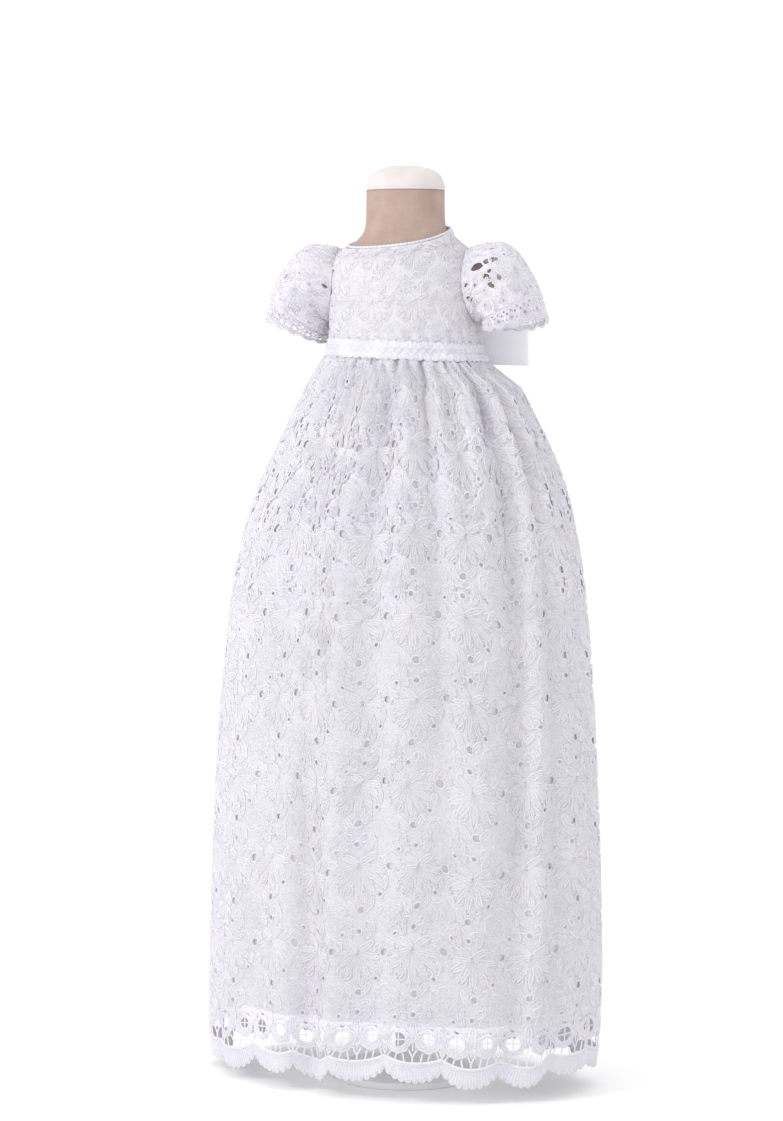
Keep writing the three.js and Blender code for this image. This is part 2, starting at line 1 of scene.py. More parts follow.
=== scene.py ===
# A christening gown of corded lace on a limbless dress form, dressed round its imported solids.
# Shapes are worked out in millimetres, and addPiece turns them to metres.
from math import cos, pi, radians, sin
import bpy
import numpy as np
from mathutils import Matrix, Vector


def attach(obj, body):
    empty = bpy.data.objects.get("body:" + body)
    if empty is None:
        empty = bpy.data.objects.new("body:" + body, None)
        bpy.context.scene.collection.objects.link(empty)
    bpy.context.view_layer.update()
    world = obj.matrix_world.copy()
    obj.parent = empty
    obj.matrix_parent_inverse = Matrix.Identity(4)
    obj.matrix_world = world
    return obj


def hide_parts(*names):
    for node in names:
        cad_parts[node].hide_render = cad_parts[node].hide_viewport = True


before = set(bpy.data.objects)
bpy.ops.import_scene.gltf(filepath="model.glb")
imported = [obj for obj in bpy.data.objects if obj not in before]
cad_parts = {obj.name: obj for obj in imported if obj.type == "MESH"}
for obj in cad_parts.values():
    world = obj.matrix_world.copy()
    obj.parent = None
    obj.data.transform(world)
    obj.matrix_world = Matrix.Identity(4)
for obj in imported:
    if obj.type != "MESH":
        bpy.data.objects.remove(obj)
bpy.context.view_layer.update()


# Small tools for shapes

def curveThrough(table, place, value):
    # Cubic pieces through one column of a table; each slope is the harmonic mean of its two rises,
    # or flat at a turn, so the curve has no overshoot
    x, y = (np.array(table[column], float) for column in (place, value))
    rise = np.diff(y) / np.diff(x)
    before, after = np.r_[rise[:1], rise], np.r_[rise, rise[-1:]]
    same = before * after > 0
    slope = np.where(same, 2 * before * after / np.where(same, before + after, 1), 0)

    def at(p):
        p = np.clip(p, x[0], x[-1])
        i = np.clip(np.searchsorted(x, p, side="right") - 1, 0, len(x) - 2)
        step = x[i + 1] - x[i]
        s = (p - x[i]) / step
        ends = (1 + 2 * s) * (1 - s) ** 2 * y[i] + s * s * (3 - 2 * s) * y[i + 1]
        slopes = s * (1 - s) ** 2 * slope[i] + s * s * (s - 1) * slope[i + 1]
        return ends + step * slopes
    return at


def curvesThrough(table, place, *columns):
    return [curveThrough(table, place, column) for column in columns]


def smooth(x, low, high):
    # 0 below low, 1 above high, and 3s^2 - 2s^3 between
    s = np.clip((x - low) / (high - low), 0, 1)
    return s * s * (3 - 2 * s)


def bell(x, middle, halfWidth):
    # exp(-q^2), with q the distance from the middle in half widths
    return np.exp(-((x - middle) / halfWidth) ** 2)


def wrapped(d, span):
    # The same place on a ring of that span, from minus half of it to plus half
    return (d + span / 2) % span - span / 2


def rowsOf(table):
    # A table of columns as one small dictionary for each row
    return [dict(zip(table, row)) for row in zip(*table.values())]


def stacked(*columns):
    # Coordinates side by side, as points
    return np.stack(np.broadcast_arrays(*columns), -1)


def onOval(oval, angle, out, height):
    # The oval's point a cos t, b sin t, moved out along its normal (b cos t, a sin t)
    a, b, middle = oval
    nx, ny = b * np.cos(angle), a * np.sin(angle)
    reach = out / np.hypot(nx, ny)
    x = middle + a * np.cos(angle) + reach * nx
    y = b * np.sin(angle) + reach * ny
    return stacked(x, y, height)


def ovalOf(curves, at):
    # Half width, half depth and middle, which is 0 where there is no third curve
    return [curve(at) for curve in curves] + [0] * (3 - len(curves))


def gridOf(us, vs):
    return np.meshgrid(us, vs, indexing="ij")


def evenly(low, high, step, span=None):
    # Places about a step apart. span sets their number where it isn't high less low.
    return np.linspace(low, high, round((span or high - low) / step) + 1)


def gridFaces(n, m, closed=False):
    # Columns run to the right and rows run down as seen from outside, so each face looks out
    i, j = gridOf(np.arange(n if closed else n - 1), np.arange(m - 1))
    k = (i + 1) % n
    return stacked(i * m + j, i * m + j + 1, k * m + j + 1, k * m + j).reshape(-1, 4)


def surface(us, vs, place, size, closed=False):
    # A plain grid of a place function: its points, its faces and its places on the flat cloth,
    # where size is what one unit measures each way
    u, v = gridOf(us, vs)
    points = place(u, v).reshape(-1, 3)
    return points, gridFaces(len(us), len(vs), closed), stacked(u, v).reshape(-1, 2) * size


def ringSurface(columns, vs, place, size):
    # The same round a full turn
    return surface(np.arange(columns) / columns * 2 * pi, vs, place, size, True)


def joined(parts):
    # Several (points, faces, cloth) groups as one, each group's corners counted on from the last
    starts = np.cumsum([0] + [len(points) for points, _, _ in parts])
    points = np.concatenate([p for p, _, _ in parts])
    faces = np.concatenate([f + start for (_, f, _), start in zip(parts, starts)])
    return points, faces, np.concatenate([c for _, _, c in parts])


def addPiece(name, shape, finish, slot, *nodes):
    # One mesh from points in millimetres, four-cornered faces and each point's place on the cloth
    points, faces, cloth = shape
    mesh = bpy.data.meshes.new(name)
    mesh.vertices.add(len(points))
    mesh.loops.add(faces.size)
    mesh.polygons.add(len(faces))
    mesh.vertices.foreach_set("co", (points * 0.001).astype(np.float32).ravel())
    mesh.loops.foreach_set("vertex_index", faces.astype(np.int32).ravel())
    mesh.polygons.foreach_set("loop_start", np.arange(len(faces), dtype=np.int32) * 4)
    mesh.polygons.foreach_set("use_smooth", np.ones(len(faces), bool))
    flat = cloth[faces.ravel()] * 0.001
    mesh.uv_layers.new(name="cloth").data.foreach_set("uv", flat.astype(np.float32).ravel())
    mesh.update(calc_edges=True)
    mesh.materials.append(finish)
    piece = bpy.data.objects.new(name, mesh)
    bpy.context.scene.collection.objects.link(piece)
    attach(piece, "root")
    if nodes:
        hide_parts(*nodes)
    print(f"{name}: {2 * len(faces)} triangles")
    return piece


# Finishes

def linear(hexColour):
    # sRGB to linear light, channel by channel
    channels = [int(hexColour[i:i + 2], 16) / 255 for i in (1, 3, 5)]
    return tuple(c / 12.92 if c <= 0.04045 else ((c + 0.055) / 1.055) ** 2.4 for c in channels) + (1,)


def addNode(tree, kind, settings=None, links=None):
    node = tree.nodes.new(kind)
    for key, value in (settings or {}).items():
        if isinstance(key, str) and hasattr(node, key):
            setattr(node, key, value)
        else:
            node.inputs[key].default_value = value
    for key, source in (links or {}).items():
        tree.links.new(source, node.inputs[key])
    return node


def newFinish(name, look):
    finish = bpy.data.materials.new(name)
    finish.use_nodes = True
    tree = finish.node_tree
    tree.nodes.clear()
    shader = addNode(tree, "ShaderNodeBsdfPrincipled", look)
    output = addNode(tree, "ShaderNodeOutputMaterial", {}, {"Surface": shader.outputs[0]})
    return finish, tree, shader, output


def mottled(tree, shader, where, scale, light, dark):
    # A soft drift between two near colours, as dye and handling leave
    noise = addNode(tree, "ShaderNodeTexNoise", {"Scale": scale, "Detail": 3}, {"Vector": where})
    ramp = addNode(tree, "ShaderNodeValToRGB", {}, {"Fac": noise.outputs["Fac"]})
    ramp.color_ramp.elements[0].position, ramp.color_ramp.elements[1].position = 0.3, 0.7
    ramp.color_ramp.elements[0].color, ramp.color_ramp.elements[1].color = linear(dark), linear(light)
    tree.links.new(ramp.outputs["Color"], shader.inputs["Base Color"])
    return ramp


def raised(tree, shader, height, distance, strength):
    bump = addNode(tree, "ShaderNodeBump", {"Distance": distance, "Strength": strength}, {"Height": height})
    tree.links.new(bump.outputs["Normal"], shader.inputs["Normal"])


def waves(tree, cloth, direction, pitch, distortion):
    # A wave's crests are pi / 10 units apart at scale 1, so its scale is 314 / pitch in millimetres
    settings = {"bands_direction": direction, "Scale": 314 / pitch, "Distortion": distortion, "Detail": 1}
    return addNode(tree, "ShaderNodeTexWave", settings, {"Vector": cloth}).outputs["Fac"]


laceLook = {
    "surface": {"Roughness": 0.7, "Sheen Weight": 0.25, "Sheen Roughness": 0.5, "Specular IOR Level": 0.35},
    "stitch": 2.2,  # millimetres, wide enough to show
    "cells": 420,  # a scale that gives cells of about 2.4 mm
    # grey of the painted shade in the middles of the net's cells
    "paintedCellShade": "#a9a8b3",
    "relief": 0.0007,
    "through": 0.2,  # share of the light that passes through
}
plainLooks = {  # drift is the scale of the colour's noise; grain stretches a finer noise into relief
    # Polyester lining satin: smooth and softly glossy, with a weave too fine to see. Its colour is painted
    # a shade greyer than the white satin, as painted shade where it shows through the lace's holes
    "lining_satin": {"look": {"Roughness": 0.5, "Sheen Weight": 0.1, "Specular IOR Level": 0.4},
                     "drift": 9, "light": "#e2e0e8", "dark": "#d9d7e0",
                     "grain": (900, 900, 90), "depth": 0.0002, "strength": 0.4},
    # Wide polyester satin ribbon: a tight face with a soft broad gloss and fine weft lines
    "satin_ribbon": {"look": {"Roughness": 0.38, "Sheen Weight": 0.15, "Specular IOR Level": 0.5},
                     "drift": 14, "light": "#f0eff4", "dark": "#e9e8ee",
                     "grain": (120, 120, 1500), "depth": 0.00015, "strength": 0.5},
    # Viscose gimp braid: round twisted cords, glossier than cotton
    "viscose_braid": {"look": {"Roughness": 0.5, "Sheen Weight": 0.2, "Specular IOR Level": 0.5},
                      "drift": 60, "light": "#e6e4ec", "dark": "#d6d4dd",
                      "grain": (1100, 1100, 1100), "depth": 0.0004, "strength": 0.6},
    # Moulded pearly polyester: a milky body under a clear gloss
    "pearly_polyester": {"look": {"Roughness": 0.25, "Coat Weight": 0.5, "Coat Roughness": 0.08, "IOR": 1.53},
                         "drift": 350, "light": "#f4efe9", "dark": "#e4e0e2"},
    # Stoved white enamel on steel: smooth with a faint orange peel
    "stoved_white_enamel": {"look": {"Roughness": 0.35, "Coat Weight": 0.2},
                            "drift": 30, "light": "#eeeeee", "dark": "#e8e8e8",
                            "grain": (420, 420, 420), "depth": 0.0001, "strength": 0.4},
}


def makeLaceFinish(name, light, dark, cellDepthAndShade=0.0):
    # Machine lace of mercerised cotton: satin stitch gives fine ridges and a faint sheen. The thick cords are
    # painted whiter than the thin net: partly their own thread, partly a painted highlight on the raised
    # cords.
    # Each net cell has painted shade in its middle, and the same mask also sinks that middle in relief.
    finish, tree, shader, output = newFinish(name, laceLook["surface"])
    where = addNode(tree, "ShaderNodeTexCoord").outputs
    colour = mottled(tree, shader, where["Object"], 24, light, dark)
    fuzz = addNode(tree, "ShaderNodeTexNoise", {"Scale": 700, "Detail": 2}, {"Vector": where["Object"]})
    stitch = waves(tree, where["UV"], "Y", laceLook["stitch"], 4)
    height = addNode(tree, "ShaderNodeMath", {"operation": "MULTIPLY_ADD", 1: 0.35},
                     {0: stitch, 2: fuzz.outputs["Fac"]})
    settings = {"feature": "DISTANCE_TO_EDGE", "Scale": laceLook["cells"]}
    cell = addNode(tree, "ShaderNodeTexVoronoi", settings, {"Vector": where["UV"]})
    # painted shade in the middle of each net cell; the same value also sinks the middle in relief
    hollowAndShade = addNode(tree, "ShaderNodeMapRange", {"From Min": 0.06, "From Max": 0.3, "To Max": cellDepthAndShade},
                     {"Value": cell.outputs["Distance"]})
    shade = addNode(tree, "ShaderNodeMix", {"data_type": "RGBA", 7: linear(laceLook["paintedCellShade"])},
                    {0: hollowAndShade.outputs[0], 6: colour.outputs["Color"]})
    tree.links.new(shade.outputs[2], shader.inputs["Base Color"])
    relief = addNode(tree, "ShaderNodeMath", {"operation": "MULTIPLY_ADD", 1: -3},
                     {0: hollowAndShade.outputs[0], 2: height.outputs[0]})
    raised(tree, shader, relief.outputs[0], laceLook["relief"], 0.8)
    through = addNode(tree, "ShaderNodeBsdfTranslucent", {}, {"Color": shade.outputs[2]})
    mix = addNode(tree, "ShaderNodeMixShader", {0: laceLook["through"]},
                  {1: shader.outputs[0], 2: through.outputs[0]})
    tree.links.new(mix.outputs[0], output.inputs["Surface"])
    return finish


def makePlainFinish(name, look, drift, light, dark, grain=None, depth=0.0, strength=0.0):
    finish, tree, shader, _ = newFinish(name, look)
    where = addNode(tree, "ShaderNodeTexCoord").outputs["Object"]
    mottled(tree, shader, where, drift, light, dark)
    if grain:
        fine = addNode(tree, "ShaderNodeMapping", {"Scale": grain}, {"Vector": where})
        noise = addNode(tree, "ShaderNodeTexNoise", {"Scale": 1, "Detail": 1}, {"Vector": fine.outputs[0]})
        raised(tree, shader, noise.outputs["Fac"], depth, strength)
    return finish


def makeWovenFinish(name, light, dark, thread, depth, roughness):
    # A plain weave: two sets of threads crossing, drawn coarse enough to show
    finish, tree, shader, _ = newFinish(name, {"Roughness": roughness, "Sheen Weight": 0.15})
    where = addNode(tree, "ShaderNodeTexCoord").outputs
    mottled(tree, shader, where["Object"], 40, light, dark)
    warp, weft = (waves(tree, where["UV"], direction, thread, 1.5) for direction in ("X", "Y"))
    both = addNode(tree, "ShaderNodeMath", {"operation": "MAXIMUM"}, {0: warp, 1: weft})
    raised(tree, shader, both.outputs[0], depth * 0.001, 0.8)
    return finish


# The cords are painted whiter than the net: partly their own thread, partly a painted highlight on the raised
# cords
netFinish = makeLaceFinish("cotton_lace_net", "#efedf5", "#e8e6ee", 0.16)
denseFinish = makeLaceFinish("dense_cotton_lace", "#f7f5fd", "#f1eff8", 0.1)
cordFinish = makeLaceFinish("mercerised_cotton_cord", "#fbf9fe", "#f5f3fa")
liningFinish, satinFinish, braidFinish, pearlFinish, enamelFinish = (
    makePlainFinish(name, **settings) for name, settings in plainLooks.items())
linenFinish = makeWovenFinish("linen_cover", "#bfa79b", "#af968a", 1.4, 0.3, 0.9)
capFinish = makeWovenFinish("cream_cotton", "#e4dddb", "#dad3d1", 1.2, 0.15, 0.88)
print("finishes made")


# Skirt surface: the same oval, folds and hem as its solid, with finer gathers and creases

skirt = {
    "panels": {"skirt_back_left": (0, 0.25), "skirt_back_right": (0.25, 0.5), "skirt_front": (0.5, 1)},
    "waistHeight": 732,
    "waistTilt": 3,
    "sideSeam": -1.7,  # degrees
    "shells": 19,
    "length": 716,  # of the flat cloth
    "firstRow": 2,  # under the braid
    "hemSteps": 1440,
    "outline": {
        "drop": [0, 18, 34, 54, 94, 134, 184, 239, 314, 414, 514, 614, 680, 724],
        "halfWidth": [77.8, 90, 105, 116, 137, 155, 170, 180, 188.5, 196, 200.5, 203, 202, 198],
        "halfDepth": [61.4, 70, 79.5, 88, 100, 108, 114, 117.5, 119.5, 121, 122, 122.5, 122.5, 121.5],
        "shift": [0, 3.5, 9, 9.5, 9, 6.5, 2.5, 0.5, -1, -2.5, -3, -3.5, -5, -6],
    },
    "folds": {  # trough's angle at the waist and the hem, its depth high, halfway and low, half width
        "waist": [-88, -66, -34, -20, -110, -105, -146, 5, 30, 52, 74, 104, 122, 148, 172],
        "hem": [-85, -62, -43, -27, -128, -105, -152, 2, 27, 56, 80, 101, 128, 152, 178],
        "high": [6, 6.5, 10, 7.5, 7, 0, 6, 7, 6, 7, 5, 7, 6, 7, 6],
        "middle": [8, 5, 12, 6.5, 4, 1, 6, 7.5, 9, 4.5, 8, 5, 9, 6, 7],
        "low": [3, 0, 6, 5, 3, 15, 7, 6, 9, 5, 10, 3, 11, 4, 8],
        "halfWidth": [5.4, 4.2, 5.6, 4.2, 6.2, 4.2, 5.5, 5.4, 6, 5, 6, 5, 6.4, 5, 6],
    },
    "foldDrops": [12, 60, 300, 700],
    "creases": {  # narrow troughs from the waist: angle at the start, a third down and at the end
        "start": [-105, -94, -60, -52, -34, -18, -14, -76, -128, -148, -166, 18, 38, 60, 82, 97, 117,
                  136, 160],
        "third": [-113, -93, -69, -54, -34, -18, -13, -82, -133, -151, -168, 21, 36, 63, 84, 98, 120,
                  135, 163],
        "end": [-129, -93, -68, -56, -50, -21, 4, -88, -139, -153, -172, 25, 33, 66, 86, 99, 124, 133, 166],
        "drop": [70, 95, 130, 62, 165, 150, 100, 60, 90, 140, 75, 120, 85, 150, 70, 115, 140, 80, 130],
        "depth": [3, 4, 7, 3.2, 7, 7, 4.5, 3, 3.6, 5, 3.6, 5, 3.6, 6, 3.2, 3.6, 6, 3.8, 5],
        "halfWidth": [1.8, 1.8, 2, 1.5, 2.2, 2.2, 1.8, 1.5, 2, 2.2, 1.8, 2, 1.8, 2.2, 1.6, 1.8, 2.2, 1.7, 2],
    },
    "hem": {
        "angle": [-180, -145, -118, -104, -90, -73, -57, -37, -12, 30, 70, 110, 150, 180],
        "height": [10, 9, 17, 12, 18, 20, 15, 15, 24, 14, 17, 12, 16, 10],
    },
    "gathers": {"drop": [12, 40, 210], "depth": [0, 2.6, 0]},
    "fineGathers": {"drop": [4, 20, 50, 140], "depth": [0.4, 2.4, 1.7, 0]},
}
skirtOval = curvesThrough(skirt["outline"], "drop", "halfWidth", "halfDepth", "shift")
hemHeightAt = curveThrough(skirt["hem"], "angle", "height")
gatherDepthAt = curveThrough(skirt["gathers"], "drop", "depth")
fineDepthAt = curveThrough(skirt["fineGathers"], "drop", "depth")


def waistAt(angle):
    return skirt["waistHeight"] - skirt["waistTilt"] * np.cos(angle)


def foldOut(degrees, drop):
    # Round troughs, each a bell across its width with a low ridge at 1.9 half widths on both sides
    total = 0
    for fold in rowsOf(skirt["folds"]):
        depths = {"drop": skirt["foldDrops"], "depth": [0, fold["high"], fold["middle"], fold["low"]]}
        place = fold["waist"] + (fold["hem"] - fold["waist"]) * drop / skirt["foldDrops"][-1]
        q = wrapped(degrees - place, 360) / fold["halfWidth"]
        shape = 0.35 * (bell(q, 1.9, 1) + bell(q, -1.9, 1)) - bell(q, 0, 1)
        total = total + curveThrough(depths, "drop", "depth")(drop) * shape
    return total


def creaseOut(degrees, drop):
    # Each crease is a bell across and a half sine down, deepest a third of the way
    total = 0
    for crease in rowsOf(skirt["creases"]):
        s = np.clip(drop / crease["drop"], 0, 1)
        place = np.interp(s, [0, 0.33, 1], [crease["start"], crease["third"], crease["end"]])
        q = wrapped(degrees - place, 360) / crease["halfWidth"]
        total = total - crease["depth"] * np.sin(pi * s ** 0.63) * (bell(q, 0, 1) - 0.3 * bell(q, 0, 2.4))
    return total


def gatherOut(angle, drop):
    # Uneven waves under the braid that fade out down the skirt, and finer ones that fade sooner
    wander = 1.4 * np.sin(3 * angle + 1) + 0.9 * np.sin(5 * angle)
    coarse = gatherDepthAt(drop) * np.cos(23 * angle + wander)
    fine = fineDepthAt(drop) * np.cos(57 * angle + 2.1 * np.sin(4 * angle + 2) + 1.3 * np.sin(7 * angle))
    return coarse + fine * (0.7 + 0.3 * np.sin(9 * angle + 1))


def skirtPoint(angle, drop, out):
    degrees = np.degrees(angle)
    moved = foldOut(degrees, drop) + creaseOut(degrees, drop) + gatherOut(angle, drop) + out
    return onOval(ovalOf(skirtOval, drop), angle, moved, waistAt(angle) - drop)


# Angles at even lengths along the folded hem, from the left side seam round by the back
fineAngles = radians(skirt["sideSeam"]) + np.linspace(0, 2 * pi, skirt["hemSteps"] + 1)
foldedHem = np.full(len(fineAngles), float(skirt["foldDrops"][-1]))
finePoints = skirtPoint(fineAngles, foldedHem, 0)[:, :2]
fineLengths = np.r_[0, np.cumsum(np.hypot(*np.diff(finePoints, axis=0).T))]
hemLength = fineLengths[-1]
print(f"hem {hemLength:.0f} mm round")


# Lace: one repeat in the flat, of leaf sprays, roses, scrolls and eyelets. x runs right and y down.
# A leaf grows from its foot in a direction given in degrees from straight down.

lace = {
    "repeatWidth": hemLength / skirt["shells"],
    "repeatHeight": 82,
    "leaf": {
        "x": [0, 0, 0, 0, 0, 0, 0, 0, 0, 28.8, 28.8, 12, -12, 7, -9, 10.5, -11, 24.5, -24.5, 3],
        "y": [12, 12, 12, 12, 12, 12, 12, 10, 10, 80, 80, 43, 44, 80, 79, 60, 58, 21, 22, 47],
        "toward": [-82, -56, -30, -3, 24, 52, 79, 122, -130, 40, -34, -36, 26, 150, -160, 14, -8, -14, 12,
                   172],
        "length": [23, 27, 31, 33, 30, 28, 24, 19, 17, 16, 15, 14, 15, 15, 16, 17, 16, 13, 12, 9],
        "width": [5.4, 5.8, 6.2, 6.4, 6.2, 5.8, 5.4, 5.6, 5.2, 5.4, 5.2, 5.6, 5.8, 5, 5.2, 5.6, 5.4, 4.6,
                  4.6, 4],
    },
    "eyelet": {
        "x": [28.8, 0.5, -0.5, 18.5, -18.5],
        "y": [11, 53, 73, 38, 76],
        "outer": [6.4, 6.2, 5.2, 4.8, 4.4],
        "inner": [3.9, 3.5, 2.5, 2.1, 1.8],
    },
    "rose": {"x": 28.8, "y": 57.5, "radius": 15.5},
    "roseRing": {"share": [0.93, 0.66, 0.4, 0.16], "petals": [6, 6, 5, 0], "dent": [0.2, 0.24, 0.2, 0],
                 "turn": [0, 0.52, 0.2, 0]},
    "scroll": {  # spirals: middle, first radius, first and last direction, last share of the radius
        "x": [13.5, -13.5, 20, -20, 6, -7],
        "y": [33, 34, 6, 5, 66, 65],
        "radius": [8, 7.6, 7.5, 7.2, 6, 6.4],
        "from": [-150, 140, -40, 50, -20, 30],
        "to": [190, -200, 230, -240, 250, -260],
        "last": [0.3, 0.32, 0.35, 0.3, 0.3, 0.35],
    },
    "step": 2.55,
    "join": 3.1,  # how far the net ground reaches past a motif
    "hips": {"opening": 1.3, "middle": 115, "halfWidth": 80},
    "lower": {"closing": 0.8, "from": 250, "to": 480},
    "low": -0.8,  # heights of the cut edges, the net, the motifs and the cords' ridges
    "net": -0.35,
    "high": 0.6,
    "cordHigh": 1.4,
    "cordHalf": 0.8,
}


def petalled(radius, dent, petals, turn):
    # A ring drawn in between its petals: radius times 1 - dent + dent |cos|
    return radius * (1 - dent + dent * np.abs(np.cos(petals * turn / 2)))


def leafField(table, across, down, width, height, join):
    # The most of the distances inside any leaf, taken as an oval, with join added
    inside = np.full(np.shape(across), -3.0)
    for leaf in rowsOf(table):
        t = radians(leaf["toward"])
        dx = wrapped(across - leaf["x"] - sin(t) * leaf["length"] / 2, width)
        dy = wrapped(down - leaf["y"] - cos(t) * leaf["length"] / 2, height)
        along, side = dx * sin(t) + dy * cos(t), dx * cos(t) - dy * sin(t)
        q = np.hypot(2 * along / leaf["length"], 2 * side / leaf["width"])
        inside = np.maximum(inside, (1 - q) * leaf["width"] / 2 + join)
    return inside


def laceFields(x, y, scale=1.0):
    # Two distances: how far a point is inside the nearest motif, and inside the net that joins them
    width, height = lace["repeatWidth"], lace["repeatHeight"]
    x, y = x / scale - width / 2, y / scale
    motif = leafField(lace["leaf"], x, y, width, height, 0)
    rose = lace["rose"]
    dx, dy = wrapped(x - rose["x"], width), wrapped(y - rose["y"], height)
    edge = petalled(rose["radius"], 0.2, 6, np.arctan2(dx, dy))
    motif = np.maximum(motif, edge - np.hypot(dx, dy))
    ground = motif + lace["join"]
    for eyelet in rowsOf(lace["eyelet"]):
        dx, dy = wrapped(x - eyelet["x"], width), wrapped(y - eyelet["y"], height)
        r, inner, outer = np.hypot(dx, dy), eyelet["inner"], eyelet["outer"]
        band = (outer - inner) / 2 - np.abs(r - (outer + inner) / 2)
        motif = np.where(r < inner, r - inner, np.maximum(motif, band))
        ground = np.where(r < inner, r - inner, np.maximum(ground, band + 1.5))
    return motif * scale, ground * scale


def motifAt(scale=1.0):
    return lambda x, y: laceFields(x, y, scale)[0]


def cutSheet(xs, ys, ground):
    # A grid of faces where the ground is positive at their middles. Points on the cut's rim slide
    # down the ground's slope to its zero line, so that the holes have smooth edges.
    x, y = gridOf(xs, ys)
    step = min(xs[1] - xs[0], ys[1] - ys[0])
    middle = [(g[1:, 1:] + g[:-1, 1:] + g[1:, :-1] + g[:-1, :-1]) / 4 for g in (x, y)]
    kept = ground(*middle) > 0
    around = np.pad(kept, 1, mode="edge").astype(int)
    count = around[1:, 1:] + around[:-1, 1:] + around[1:, :-1] + around[:-1, :-1]
    inside, near = ground(x, y), step / 4
    slopeX = (ground(x + near, y) - ground(x - near, y)) / (2 * near)
    slopeY = (ground(x, y + near) - ground(x, y - near)) / (2 * near)
    steep = np.maximum(slopeX ** 2 + slopeY ** 2, 0.2)
    rim = (count > 0) & (count < 4)
    slide = np.where(rim, np.clip(-inside / steep, -0.7 * step, 0.7 * step), 0)
    x, y = x + slide * slopeX, y + slide * slopeY
    inside = np.where(rim, 0, inside)
    faces = gridFaces(len(xs), len(ys))[kept.ravel()]
    used, faces = np.unique(faces, return_inverse=True)
    return x.ravel()[used], y.ravel()[used], inside.ravel()[used], faces.reshape(-1, 4)


def laceSheet(xs, ys, ground, place, motif=None):
    # Low at its cut edges, level on the net ground and raised on the motifs
    x, y, inside, faces = cutSheet(xs, ys, ground)
    out = lace["low"] + (lace["net"] - lace["low"]) * smooth(inside, 0, 2)
    if motif is not None:
        out = out + (lace["high"] - lace["net"]) * smooth(motif(x, y), -0.4, 1.6)
    return place(x, y, out), faces, stacked(x, y)


def cords(lines, closed, place, half=lace["cordHalf"], high=lace["cordHigh"], low=0.1):
    # A cord along each line of flat points, three points wide: its two edges low and its middle high
    if closed:
        run = np.roll(lines, -1, 1) - np.roll(lines, 1, 1)
    else:
        run = np.gradient(lines, axis=1)
    run = run / np.maximum(np.linalg.norm(run, axis=-1, keepdims=True), 1e-6)
    across = stacked(-run[..., 1], run[..., 0])
    flat = lines[:, :, None, :] + across[:, :, None, :] * half * np.array([-1, 0, 1])[:, None]
    out = np.broadcast_to(np.array([low, high, low]), flat.shape[:3])
    points = place(flat[..., 0], flat[..., 1], out)
    n, k = lines.shape[:2]
    faces = gridFaces(k, 3, closed)
    faces = (faces[None] + np.arange(n)[:, None, None] * k * 3).reshape(-1, 4)
    return points.reshape(-1, 3), faces, flat.reshape(-1, 2)


def layer(origin, place):
    # An empty list of cords, and a function that lays a line about every origin and adds it there
    parts = []

    def lay(line, closed=False, **size):
        parts.append(cords(origin + line, closed, place, **size))
    return parts, lay


def leafLoop(leaf, steps):
    # Half the length times 1 - cos p along it, and half the width times sin p across it
    t, p = radians(leaf["toward"]), np.linspace(0, 2 * pi, steps, endpoint=False)
    along, across = leaf["length"] * (1 - np.cos(p)) / 2, leaf["width"] / 2 * np.sin(p)
    x = leaf["x"] + along * sin(t) + across * cos(t)
    return stacked(x, leaf["y"] + along * cos(t) - across * sin(t))


def leafVein(leaf, steps):
    t, along = radians(leaf["toward"]), np.linspace(0.06, 0.84, steps) * leaf["length"]
    return stacked(leaf["x"] + along * sin(t), leaf["y"] + along * cos(t))


def ringLoop(x, y, radius, steps, dent=0.0, petals=0, turn=0.0):
    p = np.linspace(0, 2 * pi, steps, endpoint=False)
    r = petalled(radius, dent, petals, p - turn)
    return stacked(x + r * np.sin(p), y + r * np.cos(p))


def spiral(scroll, steps):
    # The direction runs evenly from first to last while the radius shrinks to its last share
    s = np.linspace(0, 1, steps)
    p = np.radians(scroll["from"] + (scroll["to"] - scroll["from"]) * s)
    r = scroll["radius"] * (1 + (scroll["last"] - 1) * s)
    return stacked(scroll["x"] + r * np.sin(p), scroll["y"] + r * np.cos(p))


def laceCords(across, down, place, keep, scale=1.0):
    # The cords of every motif in a block of repeats: outlines and veins of leaves, rings of eyelets,
    # petalled rings of roses, and scrolls. keep says which middles stay.
    size = np.array([lace["repeatWidth"], lace["repeatHeight"]])
    corners = stacked(*gridOf(np.arange(-1, across + 1), np.arange(down))).reshape(-1, 1, 2)
    origin = (corners * size + [size[0] / 2, 0]) * scale
    shapes = [(leafLoop(leaf, 12), True, 0) for leaf in rowsOf(lace["leaf"])]
    shapes += [(leafVein(leaf, 4), False, 0.3) for leaf in rowsOf(lace["leaf"])]
    shapes += [(spiral(scroll, 11), False, 0.1) for scroll in rowsOf(lace["scroll"])]
    for eyelet in rowsOf(lace["eyelet"]):
        shapes.append((ringLoop(eyelet["x"], eyelet["y"], eyelet["inner"] + 0.8, 10), True, 0))
    rose = lace["rose"]
    for ring in rowsOf(lace["roseRing"]):
        radius, steps = rose["radius"] * ring["share"], 24 if ring["petals"] else 8
        loop = ringLoop(rose["x"], rose["y"], radius, steps, ring["dent"], ring["petals"], ring["turn"])
        shapes.append((loop, True, 0))
    parts = []
    for shape, closed, lower in shapes:
        lines = origin + shape[None] * scale
        lines = lines[keep(*lines.mean(1).T)]
        parts.append(cords(lines, closed, place, high=lace["cordHigh"] - lower))
    return joined(parts)


def addLace(name, shape, work, finish):
    # A cut sheet in place of its solid, with the cords that lie on it
    sheet = addPiece(f"{name}_lace", shape, finish, "lace", name)
    cord = addPiece(f"{name}_cords", work, cordFinish, "lace")


# Hem border: open flowers and leaves above a row of fan shells. Across a repeat x runs from the
# shell's middle, and y runs down from the top of the border.

